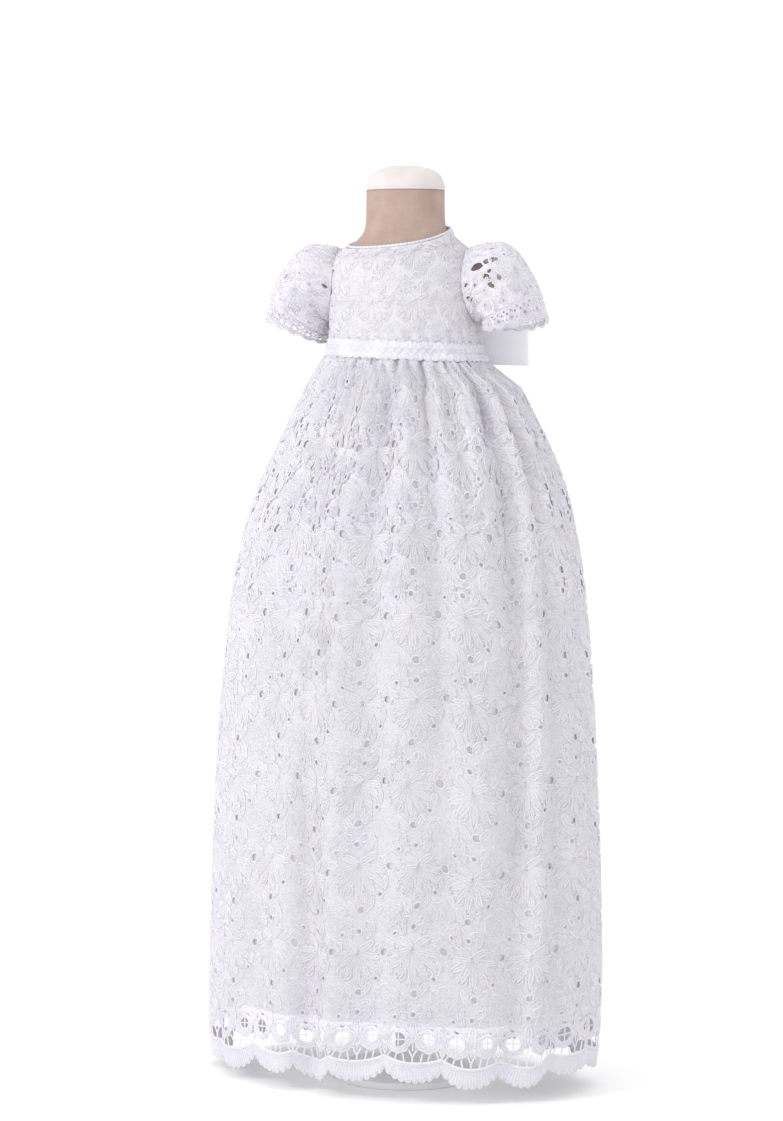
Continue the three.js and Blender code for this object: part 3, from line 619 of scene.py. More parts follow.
border = {
    "height": 60,
    "step": 1.2,
    "shellDepth": 14,
    "shellRound": 0.9,
    "cordTop": 33,
    "cordSag": 7,
    "lobes": 8,
    "lobeDepth": 3.2,
    "ribs": 17,
    "flower": {"x": [-14.6, 14.6], "y": [17.5, 17], "radius": [13.2, 12.4], "petals": [9, 6],
               "holeX": [-14.6, 15.4], "holeY": [16.2, 14.2], "hole": [7.2, 5.4]},
    "leaf": {"x": [0, 28.8], "y": [-2, -2], "toward": [0, 0], "length": [21, 19], "width": [6.5, 6.5]},
    "bar": {"x": [-22, -16, -10, -4, 4, 10, 17, 23, 0, 0, 28.8, 28.8, -28.8, -26, 26],
            "y": [27.5, 30, 29.5, 26, 26, 28.5, 28.5, 26, 34, 18, 31, 16, 31, 24, 24],
            "endX": [-26, -18, -8, 0, 0, 8, 15, 26, 0, 0, 28.8, 28.8, -26, -28.8, 28.8],
            "endY": [33.5, 37.5, 39, 34, 34, 39, 38, 33.5, 40, 27, 33.5, 26, 27, 31, 31]},
}
fieldHeight = skirt["length"] - border["height"]


def skirtPlace(x, y, out):
    # x runs along the hem and y down the cloth; the waist takes the same share of x as the hem.
    # Above the border the lace drifts by a few millimetres, as cloth laid by hand does.
    free = smooth(y, 0, 40) * (1 - smooth(y, fieldHeight - 110, fieldHeight - 10))
    turns = 2 * pi * x / hemLength
    drift = 3.4 * np.sin(4 * turns + y / 27) + 2.2 * np.sin(9 * turns - y / 41)
    sag = 4.5 * np.sin(7 * turns + 0.8 * np.sin(y / 60)) + 2.5 * np.sin(13 * turns + y / 90)
    x, y = x + free * drift, y + free * sag
    angle = np.interp(x % hemLength, fineLengths, fineAngles)
    full = waistAt(angle) - hemHeightAt(wrapped(np.degrees(angle), 360))
    return skirtPoint(angle, y / skirt["length"] * full, out)


def shellEdge(x):
    # Lowest at the shell's middle and round towards the cusps, with small lobes cut into it
    across = 2 * x / lace["repeatWidth"]
    bend = border["shellRound"]
    lift = (1 - np.sqrt(1 - bend * across ** 2)) / (1 - np.sqrt(1 - bend))
    lobe = np.abs(np.sin(pi * border["lobes"] * (across + 1) / 2))
    return border["height"] - border["shellDepth"] * lift - border["lobeDepth"] * (1 - lobe)


def shellTop(x):
    return border["cordTop"] + border["cordSag"] * (1 - (2 * x / lace["repeatWidth"]) ** 2)


def borderGround(x, y):
    width = lace["repeatWidth"]
    across, down = wrapped(x - width / 2, width), y - fieldHeight
    inside = np.minimum(down - shellTop(across) + 0.8, shellEdge(across) - down)
    inside = np.maximum(inside, leafField(border["leaf"], across, down, width, 1000, 0.6))
    for flower in rowsOf(border["flower"]):
        dx, dy = across - flower["x"], down - flower["y"]
        edge = petalled(flower["radius"], 0.12, flower["petals"], np.arctan2(dx, dy))
        inside = np.maximum(inside, edge - np.hypot(dx, dy))
        hole = np.hypot(across - flower["holeX"], down - flower["holeY"]) - flower["hole"]
        inside = np.minimum(inside, hole)
    return inside


def fieldGround(x, y):
    # More open round the hips and closer towards the hem
    hips, lower = lace["hips"], lace["lower"]
    opening = hips["opening"] * bell(y, hips["middle"], hips["halfWidth"])
    return laceFields(x, y)[1] - opening + lower["closing"] * smooth(y, lower["from"], lower["to"])


def borderSheetGround(x, y):
    # The field's net above, which thins out into the border's open ground
    return np.maximum(fieldGround(x, y) - np.maximum(y - fieldHeight - 1, 0) * 0.6, borderGround(x, y))


def borderMotif(x, y):
    solid = 2 * smooth(borderGround(x, y), 0, 2) - 0.4
    return np.where(y < fieldHeight + 4, laceFields(x, y)[0], solid)


def borderCords(columns, place):
    middles = (np.asarray(columns) + 0.5) * lace["repeatWidth"]
    origin = stacked(middles, fieldHeight)[:, None, :]
    half = lace["repeatWidth"] / 2
    parts, lay = layer(origin, place)
    for leaf in rowsOf(border["leaf"]):
        lay(leafLoop(leaf, 14), True)
        lay(leafVein(leaf, 4))
    for flower in rowsOf(border["flower"]):
        x, y, r, hole, petals = (flower[key] for key in ("x", "y", "radius", "hole", "petals"))
        holeX, holeY = flower["holeX"], flower["holeY"]
        lay(ringLoop(x, y, r - 0.9, 40, 0.11, petals), True)
        lay(ringLoop((x + holeX) / 2, (y + holeY) / 2, (r + hole) / 2, 28, 0.08, petals), True)
        lay(ringLoop(holeX, holeY, hole + 0.7, 20), True)
        reach = np.linspace(-hole, hole, 4)
        for bar in (stacked(holeX + reach, holeY), stacked(holeX, holeY + reach)):
            lay(bar, half=0.6, high=0.7, low=-0.2)
    for bar in rowsOf(border["bar"]):
        lay(np.linspace([bar["x"], bar["y"]], [bar["endX"], bar["endY"]], 3), half=0.8, high=0.8, low=-0.3)
    x = np.linspace(-half, half, 25)
    lay(stacked(x, shellTop(x)), half=1.5, high=1.9)
    lay(stacked(x, shellTop(x) + 3), half=0.8)
    x = np.linspace(-half, half, 8 * border["lobes"] + 1)
    lay(stacked(x, shellEdge(x) - 0.6), half=0.8, high=1.0, low=-0.3)
    for share in np.linspace(-0.86, 0.86, border["ribs"]):
        low = share * half
        top, bottom = shellTop(0.8 * low) + 3.5, shellEdge(low) - 1.5
        lay(np.linspace([0.8 * low, top], [low, bottom], 4), half=0.7, high=1.0, low=0.3)
    return joined(parts)


def buildSkirt():
    # Each panel is a sheet cut through with its holes, and the cords that lie on it
    width, shells, length = lace["repeatWidth"], skirt["shells"], skirt["length"]
    for name, (first, last) in skirt["panels"].items():
        low, high = first * hemLength, last * hemLength
        fieldX, borderX = evenly(low, high, lace["step"]), evenly(low, high, border["step"])
        fieldY = evenly(skirt["firstRow"], fieldHeight, lace["step"], fieldHeight)
        borderY = evenly(fieldHeight, length + 1, border["step"], border["height"])
        field = laceSheet(fieldX, fieldY, fieldGround, skirtPlace, motifAt())
        edge = laceSheet(borderX, borderY, borderSheetGround, skirtPlace, borderMotif)

        def inPanel(x, y):
            return (x >= low) & (x < high) & (y > 6) & (y < fieldHeight + 3)
        columns = [k for k in range(shells) if low <= (k + 0.5) * width < high]
        work = joined([laceCords(shells, 8, skirtPlace, inPanel), borderCords(columns, skirtPlace)])
        addLace(name, joined([field, edge]), work, netFinish)


buildSkirt()


# Skirt lining: plain satin close inside the lace

lining = {
    "hemHeight": 72,
    "length": 660,
    "gaps": {"drop": [0, 18, 84, 724], "gap": [1.8, 2.1, 2.1, 2.1]},
    "columns": 430,
    "rows": 115,
}


def buildLining():
    # The skirt's own folds less the gap, down to a level hem, with closer rows near the waist
    gapAt = curveThrough(lining["gaps"], "drop", "gap")

    def place(x, share):
        angle = np.interp(x, fineLengths, fineAngles)
        drop = share * (waistAt(angle) - lining["hemHeight"])
        return skirtPoint(angle, drop, -gapAt(drop))
    xs = np.arange(lining["columns"]) / lining["columns"] * hemLength
    shares = np.linspace(0.001, 1, lining["rows"]) ** 1.2
    shape = surface(xs, shares, place, (1, lining["length"]), True)
    piece = addPiece("skirt_lining_satin", shape, liningFinish, "lining", "skirt_lining")


buildLining()


# Bodice: dense lace with the same motifs at a smaller scale, cut round the armholes

bodice = {
    "panels": {"bodice_front": (0, 2), "bodice_back_left": (2, 3), "bodice_back_right": (3, 4)},
    "outline": {
        "z": [728, 750, 775, 795, 810, 820, 828, 834, 840, 846, 860],
        "halfWidth": [77.6, 77.2, 77.2, 76.6, 75.4, 73, 68.4, 62, 54.2, 48, 44.6],
        "halfDepth": [61.4, 61, 59.6, 57.2, 54.2, 51.4, 48.8, 46.8, 45, 43.8, 42.8],
    },
    "neckHeight": 842,
    "neckRise": 10,
    "neckTilt": 5,
    "around": 436,
    "height": 118,
    "repeats": 11,
    "step": 1.5,
    "start": -1.6,  # the first row, under the neck edging
    "seam": 0.25,
    "cutShare": 0.8,  # of the flat rectangle, after the armholes, neck and shoulders
    "armhole": {"height": 795, "halfHeight": 33, "halfDepth": 22, "meanHalf": 27},
    "drags": {"angle": [-22, -160, 150], "slope": [0.25, -0.2, 0.2], "depth": [1.4, 1.1, 1.2]},
}
bodiceOval = curvesThrough(bodice["outline"], "z", "halfWidth", "halfDepth")
bodiceZ = np.linspace(860, 728, 300)
bodiceArc = np.r_[0, np.cumsum(np.hypot(np.diff(bodiceZ), np.diff(bodiceOval[0](bodiceZ))))]
bodiceScale = bodice["around"] / bodice["repeats"] / lace["repeatWidth"]


def necklineAt(angle):
    return bodice["neckHeight"] + bodice["neckRise"] * np.sin(angle) + bodice["neckTilt"] * np.cos(angle)


def bodicePlace(x, y, out):
    # x runs round from the right side seam by the front, and y down the side's curve to the waist,
    # with small puckers over the waist seam and a few soft slanting drags under the arms
    angle = x / bodice["around"] * 2 * pi - pi
    top, bottom = (np.interp(-z, -bodiceZ, bodiceArc) for z in (necklineAt(angle), waistAt(angle)))
    z = np.interp(top + y / bodice["height"] * (bottom - top), bodiceArc, bodiceZ)
    out = out + 0.9 * bell(y, 112, 22) * np.cos(34 * angle + 1.2 * np.sin(3 * angle))
    for drag in rowsOf(bodice["drags"]):
        beside = wrapped(np.degrees(angle) - drag["angle"] - drag["slope"] * y, 360)
        out = out - drag["depth"] * bell(beside, 0, 5) * smooth(y, 50, 85)
    return onOval(ovalOf(bodiceOval, z), angle, out, z)


def armholeField(x, y):
    # About how far outside the armhole's oval a point is
    p, hole = bodicePlace(x, y, 0), bodice["armhole"]
    q = np.hypot(p[..., 1] / hole["halfDepth"], (p[..., 2] - hole["height"]) / hole["halfHeight"])
    return (q - 1) * hole["meanHalf"]


def buildBodice():
    quarter, height, step = bodice["around"] / 4, bodice["height"], bodice["step"]
    for name, (first, last) in bodice["panels"].items():
        low, high = first * quarter + bodice["seam"], last * quarter - bodice["seam"]
        xs, ys = evenly(low, high, step), evenly(bodice["start"], height, step, height)
        shape = laceSheet(xs, ys, armholeField, bodicePlace, motifAt(bodiceScale))

        def inPanel(x, y):
            level = (y > 3) & (y < height - 6)
            return (x > low + 1) & (x < high - 1) & level & (armholeField(x, y) > 3)
        work = laceCords(bodice["repeats"], 3, bodicePlace, inPanel, bodiceScale)
        if name != "bodice_front":
            down = np.linspace(4, height - 4, 60)
            edge = low + 1.2 if name == "bodice_back_right" else high - 1.2
            seam = stacked(edge, down)[None]
            work = joined([work, cords(seam, False, bodicePlace, half=0.9, high=1.0)])
        addLace(name, shape, work, denseFinish)


buildBodice()


# Neck edging and waist braid

edging = {"height": 3.6, "thickness": 3, "beads": 84, "columns": 504, "sides": 8}
braid = {
    "top": 10,
    "bottom": 8,
    "gap": 0.8,
    "thickness": 1.9,
    "columns": 560,
    "rows": 26,
    "beads": 122,
    "beadRows": [2.6, 15.4],
    "waves": 31,
}


def buildEdging():
    # A round cord of beads: an oval section whose size swells with |cos|
    def place(angle, side):
        size = 0.6 + 0.4 * np.abs(np.cos(edging["beads"] * angle / 2))
        z = necklineAt(angle) + 0.3 + edging["height"] / 2
        out = 0.4 - edging["thickness"] / 2 + size * edging["thickness"] / 2 * np.cos(side)
        return onOval(ovalOf(bodiceOval, z), angle, out, z - size * edging["height"] / 2 * np.sin(side))
    shape = ringSurface(edging["columns"], np.linspace(-pi, pi, edging["sides"] + 1), place, (46, 2))
    addPiece("neck_edging_beads", shape, braidFinish, "braid", "neck_edging")


def buildBraid():
    # A rounded band with two rows of beads and two cords that wind across each other between them
    width = braid["top"] + braid["bottom"]

    def place(angle, y):
        drop = y - braid["top"]
        z = waistAt(angle) - drop
        above, below = ovalOf(bodiceOval, z), ovalOf(skirtOval, drop)
        oval = [np.where(drop < 0, a, b) for a, b in zip(above, below)]
        out = braid["gap"] + braid["thickness"] * (1 - np.abs(2 * y / width - 1) ** 4)
        lumps = np.abs(np.cos(braid["beads"] * angle / 2))
        for row in braid["beadRows"]:
            out = out + 1.4 * lumps * bell(y, row, 1.6)
        wave = 3.4 * np.sin(braid["waves"] * angle)
        over = 1.7 * np.maximum(bell(y, width / 2 + wave, 1.2), 0.8 * bell(y, width / 2 - wave, 1.2)) - 0.5
        out = out + over + 0.35 * np.sin(17 * angle) * bell(y, width / 2, 6)
        edge = 1.6 * (np.abs(np.cos(braid["waves"] * angle)) - 0.5) * (2 * y / width - 1) ** 3
        return onOval(oval, angle, out, z - edge)
    shape = ringSurface(braid["columns"], np.linspace(0, width, braid["rows"]), place, (70, 1))
    addPiece("waist_braid_gimp", shape, braidFinish, "braid", "waist_braid")


buildEdging()
buildBraid()


# Sleeves: rings from the armhole over the puff to the cuff, then a scalloped trim

sleeve = {
    "rings": {
        "crownOut": [82, 101, 118, 131, 139],
        "crownUp": [835, 836, 827, 807, 789],
        "underOut": [79, 80.5, 82.5, 84.5, 86],
        "underUp": [758.5, 759, 760, 761, 762],
        "halfDepth": [33, 39, 43, 44, 43],
    },
    "trimRings": {
        "crownOut": [139.6, 146],
        "crownUp": [788, 764],
        "underOut": [86.2, 88],
        "underUp": [761.4, 753],
        "halfDepth": [43, 46.5],
    },
    "drape": {"left": {"sag": 5, "underDrop": 0}, "right": {"sag": 0, "underDrop": 14}},
    "seamMargin": 3,
    "around": 258,
    "crownLength": 96,
    "underLength": 30,
    "repeats": 6,
    "step": 1.5,
    "pleats": {"count": 30, "depth": 1.3, "fade": 1.9},
    "gaps": {  # open places near the armhole, in the flat
        "x": [83.5, 90.8, 95.8, 83.2, 76.2, 74, 53, 49, 46.6, 54],
        "y": [41, 47.5, 52.5, 58.5, 61.6, 69.7, 52, 60, 71, 83],
        "halfX": [4.8, 3.2, 4, 2.6, 3.4, 3, 3.8, 2.8, 3, 2.8],
        "halfY": [7, 3.8, 4.2, 2.2, 5.6, 5.2, 2.6, 2.2, 2.6, 2.4],
        "turn": [0, 10, -15, 0, 8, -10, 20, 0, 15, 0],
    },
}
trim = {
    "around": 288,
    "flatWidth": 0.24,  # metres, as cut
    "cutShare": 0.65,  # of the flat rectangle, as the strip narrows under the arm
    "length": 25,
    "start": -1.4,
    "scallops": 14,
    "depth": 5.5,
    "step": 1.0,
    "picots": 5,
    "picot": 1.7,
    "hole": {"x": [0, -6.2, 6.2, 0, -7.6, 7.6, -10.2, 10.2], "y": [15.5, 9.6, 9.6, 7, 16.5, 16.5, 5.5, 5.5],
             "radius": [3, 1.7, 1.7, 1.6, 1.4, 1.4, 1.5, 1.5]},
    "ring": {"x": [0, 0, -6.2, 6.2, 0], "y": [15.5, 15.5, 9.6, 9.6, 7], "radius": [3.7, 5.6, 2.4, 2.4, 2.2]},
}
sleeveScale = sleeve["around"] / sleeve["repeats"] / lace["repeatWidth"]


def sleeveRing(section, side, sag, underDrop, angle, out):
    # An oval about the middle of the line from the underarm's point to the crown's
    crown = np.array([section["crownOut"], section["crownUp"]], float)
    under = np.array([section["underOut"], section["underUp"]], float)
    reach = np.linalg.norm(crown - under) / 2
    across, middle = (crown - under) / (2 * reach), (crown + under) / 2
    r = (reach + out) * np.cos(angle)
    dip = sag * np.sin(angle) ** 2 + underDrop * ((1 - np.cos(angle)) / 2) ** 2
    y = (section["halfDepth"] + out) * np.sin(angle)
    return stacked(side * (middle[0] + across[0] * r), side * y, middle[1] + across[1] * r - dip)


def armholeRing(side, angle, out):
    # The armhole's oval, a seam's margin larger, on the bodice's side
    hole, margin = bodice["armhole"], sleeve["seamMargin"] + out
    y = (hole["halfDepth"] + margin) * np.sin(angle)
    z = hole["height"] + (hole["halfHeight"] + margin) * np.cos(angle)
    x = bodiceOval[0](z) * np.sqrt(1 - (y / bodiceOval[1](z)) ** 2) + 0.6
    return stacked(side * x, side * y, z)


def sleevePoint(name, angle, row, out):
    # Catmull-Rom pieces through the rings: row 0 is the armhole and row 5 the cuff
    side = 1 if name == "left" else -1
    drape = sleeve["drape"][name]
    rings = [armholeRing(side, angle, out)]
    for i, section in enumerate(rowsOf(sleeve["rings"])):
        share = (i + 1) / 5
        sag, underDrop = drape["sag"] * share, drape["underDrop"] * share ** 2
        rings.append(sleeveRing(section, side, sag, underDrop, angle, out))
    rings = np.stack([2 * rings[0] - rings[1]] + rings + [2 * rings[5] - rings[4]])
    i = np.clip(np.floor(row).astype(int), 0, 4)
    t = (row - i)[..., None]
    p = [np.take_along_axis(rings, (i + k)[None, ..., None], 0)[0] for k in range(4)]
    squared = 2 * p[0] - 5 * p[1] + 4 * p[2] - p[3]
    cubed = 3 * (p[1] - p[2]) + p[3] - p[0]
    return 0.5 * (2 * p[1] + (p[2] - p[0]) * t + squared * t ** 2 + cubed * t ** 3)


def sleeveLength(angle):
    long, short = sleeve["crownLength"], sleeve["underLength"]
    return short + (long - short) * (1 + np.cos(angle)) / 2


def sleevePlace(name):
    def place(x, y, out):
        # x runs round from the underarm, and y down to the cuff, where every line is at full length
        angle = x / sleeve["around"] * 2 * pi - pi
        row = np.clip(5 * (1 - (sleeve["crownLength"] - y) / sleeveLength(angle)), 0, 5)
        pleats = sleeve["pleats"]
        fade = np.sin(pi * np.clip(row / pleats["fade"], 0, 1)) * (0.4 + 0.6 * bell(angle, 0, 1.4))
        puff = pleats["depth"] * fade * np.cos(pleats["count"] * angle + 1.5 * np.sin(2 * angle))
        soft = 1.2 * np.sin(3 * angle + row) * np.sin(pi * row / 5)
        return sleevePoint(name, angle, row, out + puff + soft)
    return place


def gapField(x, y):
    # How far outside each oval gap a point is
    inside = np.full(np.shape(x), 9.0)
    for gap in rowsOf(sleeve["gaps"]):
        t, dx, dy = radians(gap["turn"]), x - gap["x"], y - gap["y"]
        q = np.hypot((dx * cos(t) + dy * sin(t)) / gap["halfX"], (dy * cos(t) - dx * sin(t)) / gap["halfY"])
        inside = np.minimum(inside, (q - 1) * min(gap["halfX"], gap["halfY"]))
    return inside


def gapLoop(gap, steps):
    # An oval 0.8 mm outside the gap
    p, t = np.linspace(0, 2 * pi, steps, endpoint=False), radians(gap["turn"])
    u, v = (gap["halfX"] + 0.8) * np.sin(p), (gap["halfY"] + 0.8) * np.cos(p)
    return stacked(gap["x"] + u * cos(t) - v * sin(t), gap["y"] + u * sin(t) + v * cos(t))


def belowArmhole(x, y):
    return y - sleeve["crownLength"] + sleeveLength(x / sleeve["around"] * 2 * pi - pi)


def sleeveGround(x, y):
    net = np.minimum(laceFields(x, y, sleeveScale)[1], gapField(x, y))
    return np.minimum(net, belowArmhole(x, y) + 0.2)


def trimPlace(name):
    def place(x, y, out):
        # y runs from the cuff to the scalloped edge, which flutes a little with its scallops
        side = 1 if name == "left" else -1
        angle = x / trim["around"] * 2 * pi - pi
        drape = sleeve["drape"][name]
        out = out + 0.9 * y / trim["length"] * np.cos(trim["scallops"] * angle)
        rings = [sleeveRing(section, side, drape["sag"], drape["underDrop"], angle, out)
                 for section in rowsOf(sleeve["trimRings"])]
        return rings[0] + (rings[1] - rings[0]) * (y / trim["length"])[..., None]
    return place


def trimEdge(x):
    tip = np.abs(np.sin(pi * trim["scallops"] * x / trim["around"]))
    return trim["length"] - 1.5 + trim["depth"] * (tip - 0.5)


def trimGround(x, y):
    # Open at round holes in each scallop's middle and beside it
    width = trim["around"] / trim["scallops"]
    across = wrapped(x - width / 2, width)
    inside = np.minimum(y + 3, trimEdge(x) - y)
    for hole in rowsOf(trim["hole"]):
        inside = np.minimum(inside, np.hypot(across - hole["x"], y - hole["y"]) - hole["radius"])
    return inside


def trimCords(name):
    place = trimPlace(name)
    width, count = trim["around"] / trim["scallops"], trim["scallops"]
    origin = stacked((np.arange(count) + 0.5) * width, 0)[:, None, :]
    x = np.linspace(0, trim["around"], 12 * count + 1)
    edge, level, scalloped = trimEdge(x), {"half": 0.8}, {"half": 0.75, "high": 1}
    parts, lay = layer(origin, place)
    for y, size in ((-0.6, level), (3, level), (edge - 0.7, scalloped), (edge - 3.4, scalloped)):
        parts.append(cords(stacked(x, y)[None], False, place, **size))
    for ring in rowsOf(trim["ring"]):
        lay(ringLoop(ring["x"], ring["y"], ring["radius"], 12), True, half=0.6, high=1)
    for i in range(trim["picots"]):
        across = (i - (trim["picots"] - 1) / 2) * width / trim["picots"]
        down = trimEdge(width / 2 + across) + 0.9
        lay(ringLoop(across, down, trim["picot"], 8), True, half=0.6, high=0.7, low=-0.3)
    return joined(parts)


def buildSleeve(name):
    place = sleevePlace(name)
    around, length, step = sleeve["around"], sleeve["crownLength"], sleeve["step"]

    def inSleeve(x, y):
        level = (belowArmhole(x, y) > 3) & (y < length - 1)
        return (x > 1) & (x < around - 1) & level & (gapField(x, y) > 0.5)
    xs, ys = evenly(0, around, step), evenly(0, length, step)
    shape = laceSheet(xs, ys, sleeveGround, place, motifAt(sleeveScale))
    work = laceCords(sleeve["repeats"], 3, place, inSleeve, sleeveScale)
    x = np.linspace(0, around, 121)
    seam = stacked(x, 1 - belowArmhole(x, 0))[None]
    rims = [cords(gapLoop(gap, 14)[None], True, place) for gap in rowsOf(sleeve["gaps"])]
    work = joined([work, cords(seam, False, place, half=1.1, high=1.1, low=-0.6)] + rims)
    addLace(f"sleeve_{name}", shape, work, denseFinish)


def buildTrim(name):
    depth = trim["length"] + 2
    xs, ys = evenly(0, trim["around"], trim["step"]), evenly(trim["start"], depth, trim["step"], depth)
    shape = laceSheet(xs, ys, trimGround, trimPlace(name))
    addLace(f"sleeve_trim_{name}", shape, trimCords(name), denseFinish)


for name in ("left", "right"):
    buildSleeve(name)
    buildTrim(name)


# Bow of wide satin ribbon at the centre back, and the buttons above it

bow = {
    "height": 738,
    "knot": {"halfWidth": 13, "halfHeight": 15, "depth": 16, "back": 65.5},
    "loop": {"reach": 99, "bend": 14, "open": 9, "halfHeight": 29, "pinch": 12, "rise": 7,
             "bellyStart": 0.15, "bellySpan": 0.6, "hem": 4.5, "flat": (0.176, 0.058)},
    "tail": {"first": 1, "columns": 5, "of": 28, "top": 18, "bottom": 285, "gap": 2.2, "slant": 26,
             "flat": (0.048, 0.267)},
}
buttons = {
    "height": [757, 778, 799, 820],
    "inset": 6,
    "profileRadius": [0, 1.35, 2.5, 3.15, 3.8, 4.3, 4.5, 4.3, 3.6, 0],
    "profileHeight": [2.3, 2.2, 1.9, 2.2, 2.95, 2.6, 1.5, 0.45, 0, 0],
}


def buildLoop(name, side):
    # The ribbon leaves the knot, turns at its reach and comes back; pinches fan out from the knot
    loop, knot = bow["loop"], bow["knot"]
    start = knot["halfWidth"] + 0.3
    hemAt = 0.5 - loop["hem"] / (2 * loop["halfHeight"])

    def place(angle, v):
        share = (1 - np.cos(angle)) / 2
        swell = np.sin(pi * (loop["bellyStart"] + loop["bellySpan"] * share))
        belly = loop["open"] * np.sin(angle) * swell
        pinches = 1.5 * (1 - share) ** 1.5 * np.cos(4.5 * pi * v + 1.3 * np.sin(angle)) * np.sin(angle)
        crease = 0.9 * bell(v, 0.36 + 0.25 * share, 0.05) * share * (1 - share) * 4
        fold = 0.35 * smooth(np.abs(v - 0.5), hemAt, hemAt + 0.012) - crease
        bend = knot["back"] + knot["depth"] / 2 + loop["bend"] * share * share
        half = loop["pinch"] + (loop["halfHeight"] - loop["pinch"]) * np.sqrt(share)
        x = start + share * (loop["reach"] - start) - fold * np.cos(angle)
        y = bend - side * (belly + fold * np.sin(angle) + pinches)
        return stacked(side * x, y, bow["height"] + loop["rise"] * share + half * (1 - 2 * v))
    shape = ringSurface(96, np.linspace(0, 1, 49), place, (28, 58))
    piece = addPiece(f"bow_loop_{name}_satin", shape, satinFinish, "satin", f"bow_loop_{name}")


def buildTail(name, side):
    # On the skirt's own folds, a little clear of the lace, with soft waves and a slanted end
    tail = bow["tail"]
    first, last = sorted(hemLength / 4 * (1 - side * columns / tail["of"])
                         for columns in (tail["first"], tail["first"] + tail["columns"]))

    def place(x, share):
        across = (x - first) / (last - first)
        end = tail["bottom"] - tail["slant"] * (across if side > 0 else 1 - across)
        drop = tail["top"] + share * (end - tail["top"])
        lift = 0.8 * np.sin(pi * across) * (1 + np.cos(drop / 26 + 2 * across))
        return skirtPoint(np.interp(x, fineLengths, fineAngles), drop, tail["gap"] + lift)
    shape = surface(np.linspace(first, last, 41), np.linspace(0, 1, 121), place, (1, 260))
    piece = addPiece(f"bow_tail_{name}_satin", shape, satinFinish, "satin", f"bow_tail_{name}")


def buildKnot():
    # A barrel drawn in at its top and bottom, with pleats that run up and down it
    knot = bow["knot"]

    def place(angle, v):
        rise = np.cos(pi * v)
        size = np.sqrt(np.maximum(1 - rise ** 4, 0)) * (0.9 + 0.1 * rise ** 2)
        fold = size * (1 - 0.05 * np.abs(np.cos(7 * angle + 0.6 * rise)) * size)
        x = knot["halfWidth"] * fold * np.cos(angle)
        y = knot["back"] + knot["depth"] / 2 * (1 + fold * np.sin(angle))
        return stacked(x, y, bow["height"] + knot["halfHeight"] * rise)
    shape = ringSurface(84, np.linspace(0, 1, 41), place, (13, 40))
    addPiece("bow_knot_satin", shape, satinFinish, "satin", "bow_knot")


def buildButtons():
    # Turned buttons: a flat foot, a round rim, a shallow dish and a low dome in its middle
    radius, lift = np.array(buttons["profileRadius"]), np.array(buttons["profileHeight"])
    turn, row = gridOf(np.arange(24) / 24 * 2 * pi, np.arange(len(radius)))
    flat = stacked(radius[row] * np.sin(turn), -radius[row] * np.cos(turn))[..., None]
    parts = []
    for height in buttons["height"]:
        ovals = [ovalOf(bodiceOval, z) for z in (height, height + 0.1)]
        angle = pi / 2 - buttons["inset"] / ovals[0][0]
        seat = onOval(ovals[0], angle, 0.4, height)
        up = onOval(ovals[1], angle, 0.4, height + 0.1) - seat
        right = onOval(ovals[0], angle + 0.001, 0.4, height) - seat
        up, right = up / np.linalg.norm(up), right / np.linalg.norm(right)
        rise = lift[row][..., None] * np.cross(right, up)
        points = seat + flat[..., 0, :] * right + flat[..., 1, :] * up + rise
        parts.append((points.reshape(-1, 3), gridFaces(24, len(radius), True), flat.reshape(-1, 2)))
    names = [f"back_button_{i + 1}" for i in range(len(parts))]
    addPiece("back_buttons_pearly", joined(parts), pearlFinish, "pearl", *names)


for name, side in (("left", 1), ("right", -1)):
    buildLoop(name, side)
    buildTail(name, side)
buildKnot()
buildButtons()


# Dress form with its neck cap, and the stand

form = {
    "outline": {
        "z": [576, 582, 610, 655, 732, 775, 795, 810, 820, 828, 834, 840, 846, 853, 864, 890],
        "halfWidth": [52, 60, 70, 74, 73, 73, 72.4, 71, 68.5, 65.2, 58.8, 51, 44.6, 40.6, 39.4, 39],
        "halfDepth": [40, 47, 56, 59, 56.6, 55.6, 53.2, 50, 47, 45.2, 43.2, 41.2, 39.8, 38.6, 38.2, 38],
    },
    "neck": {"halfWidth": 39, "halfDepth": 38, "top": 890, "length": 314},  # length to the underside
    "shoulder": {"out": 70, "height": 797, "reach": 26, "halfDepth": 18, "halfHeight": 26},
}
cap = {"row": [0, 1, 2, 3, 4, 5], "rise": [0, 4, 13, 20.5, 24, 24.6], "share": [1, 1, 0.93, 0.68, 0.3, 0.01]}
stand = {
    "pole": {"radius": [0.3, 29, 30, 30, 29, 12, 10, 10, 10, 13, 19, 22, 22, 0.3],
             "height": [575.7, 575.7, 574.8, 571.5, 570.7, 569, 560, 300, 24, 18, 13, 10, 8.3, 8.3]},
    "base": {"radius": [0.3, 60, 72.6, 74.4, 75, 75, 74.4, 73.5, 0.3],
             "height": [8, 8, 7.9, 7.3, 6.2, 1.2, 0.4, 0, 0]},
}


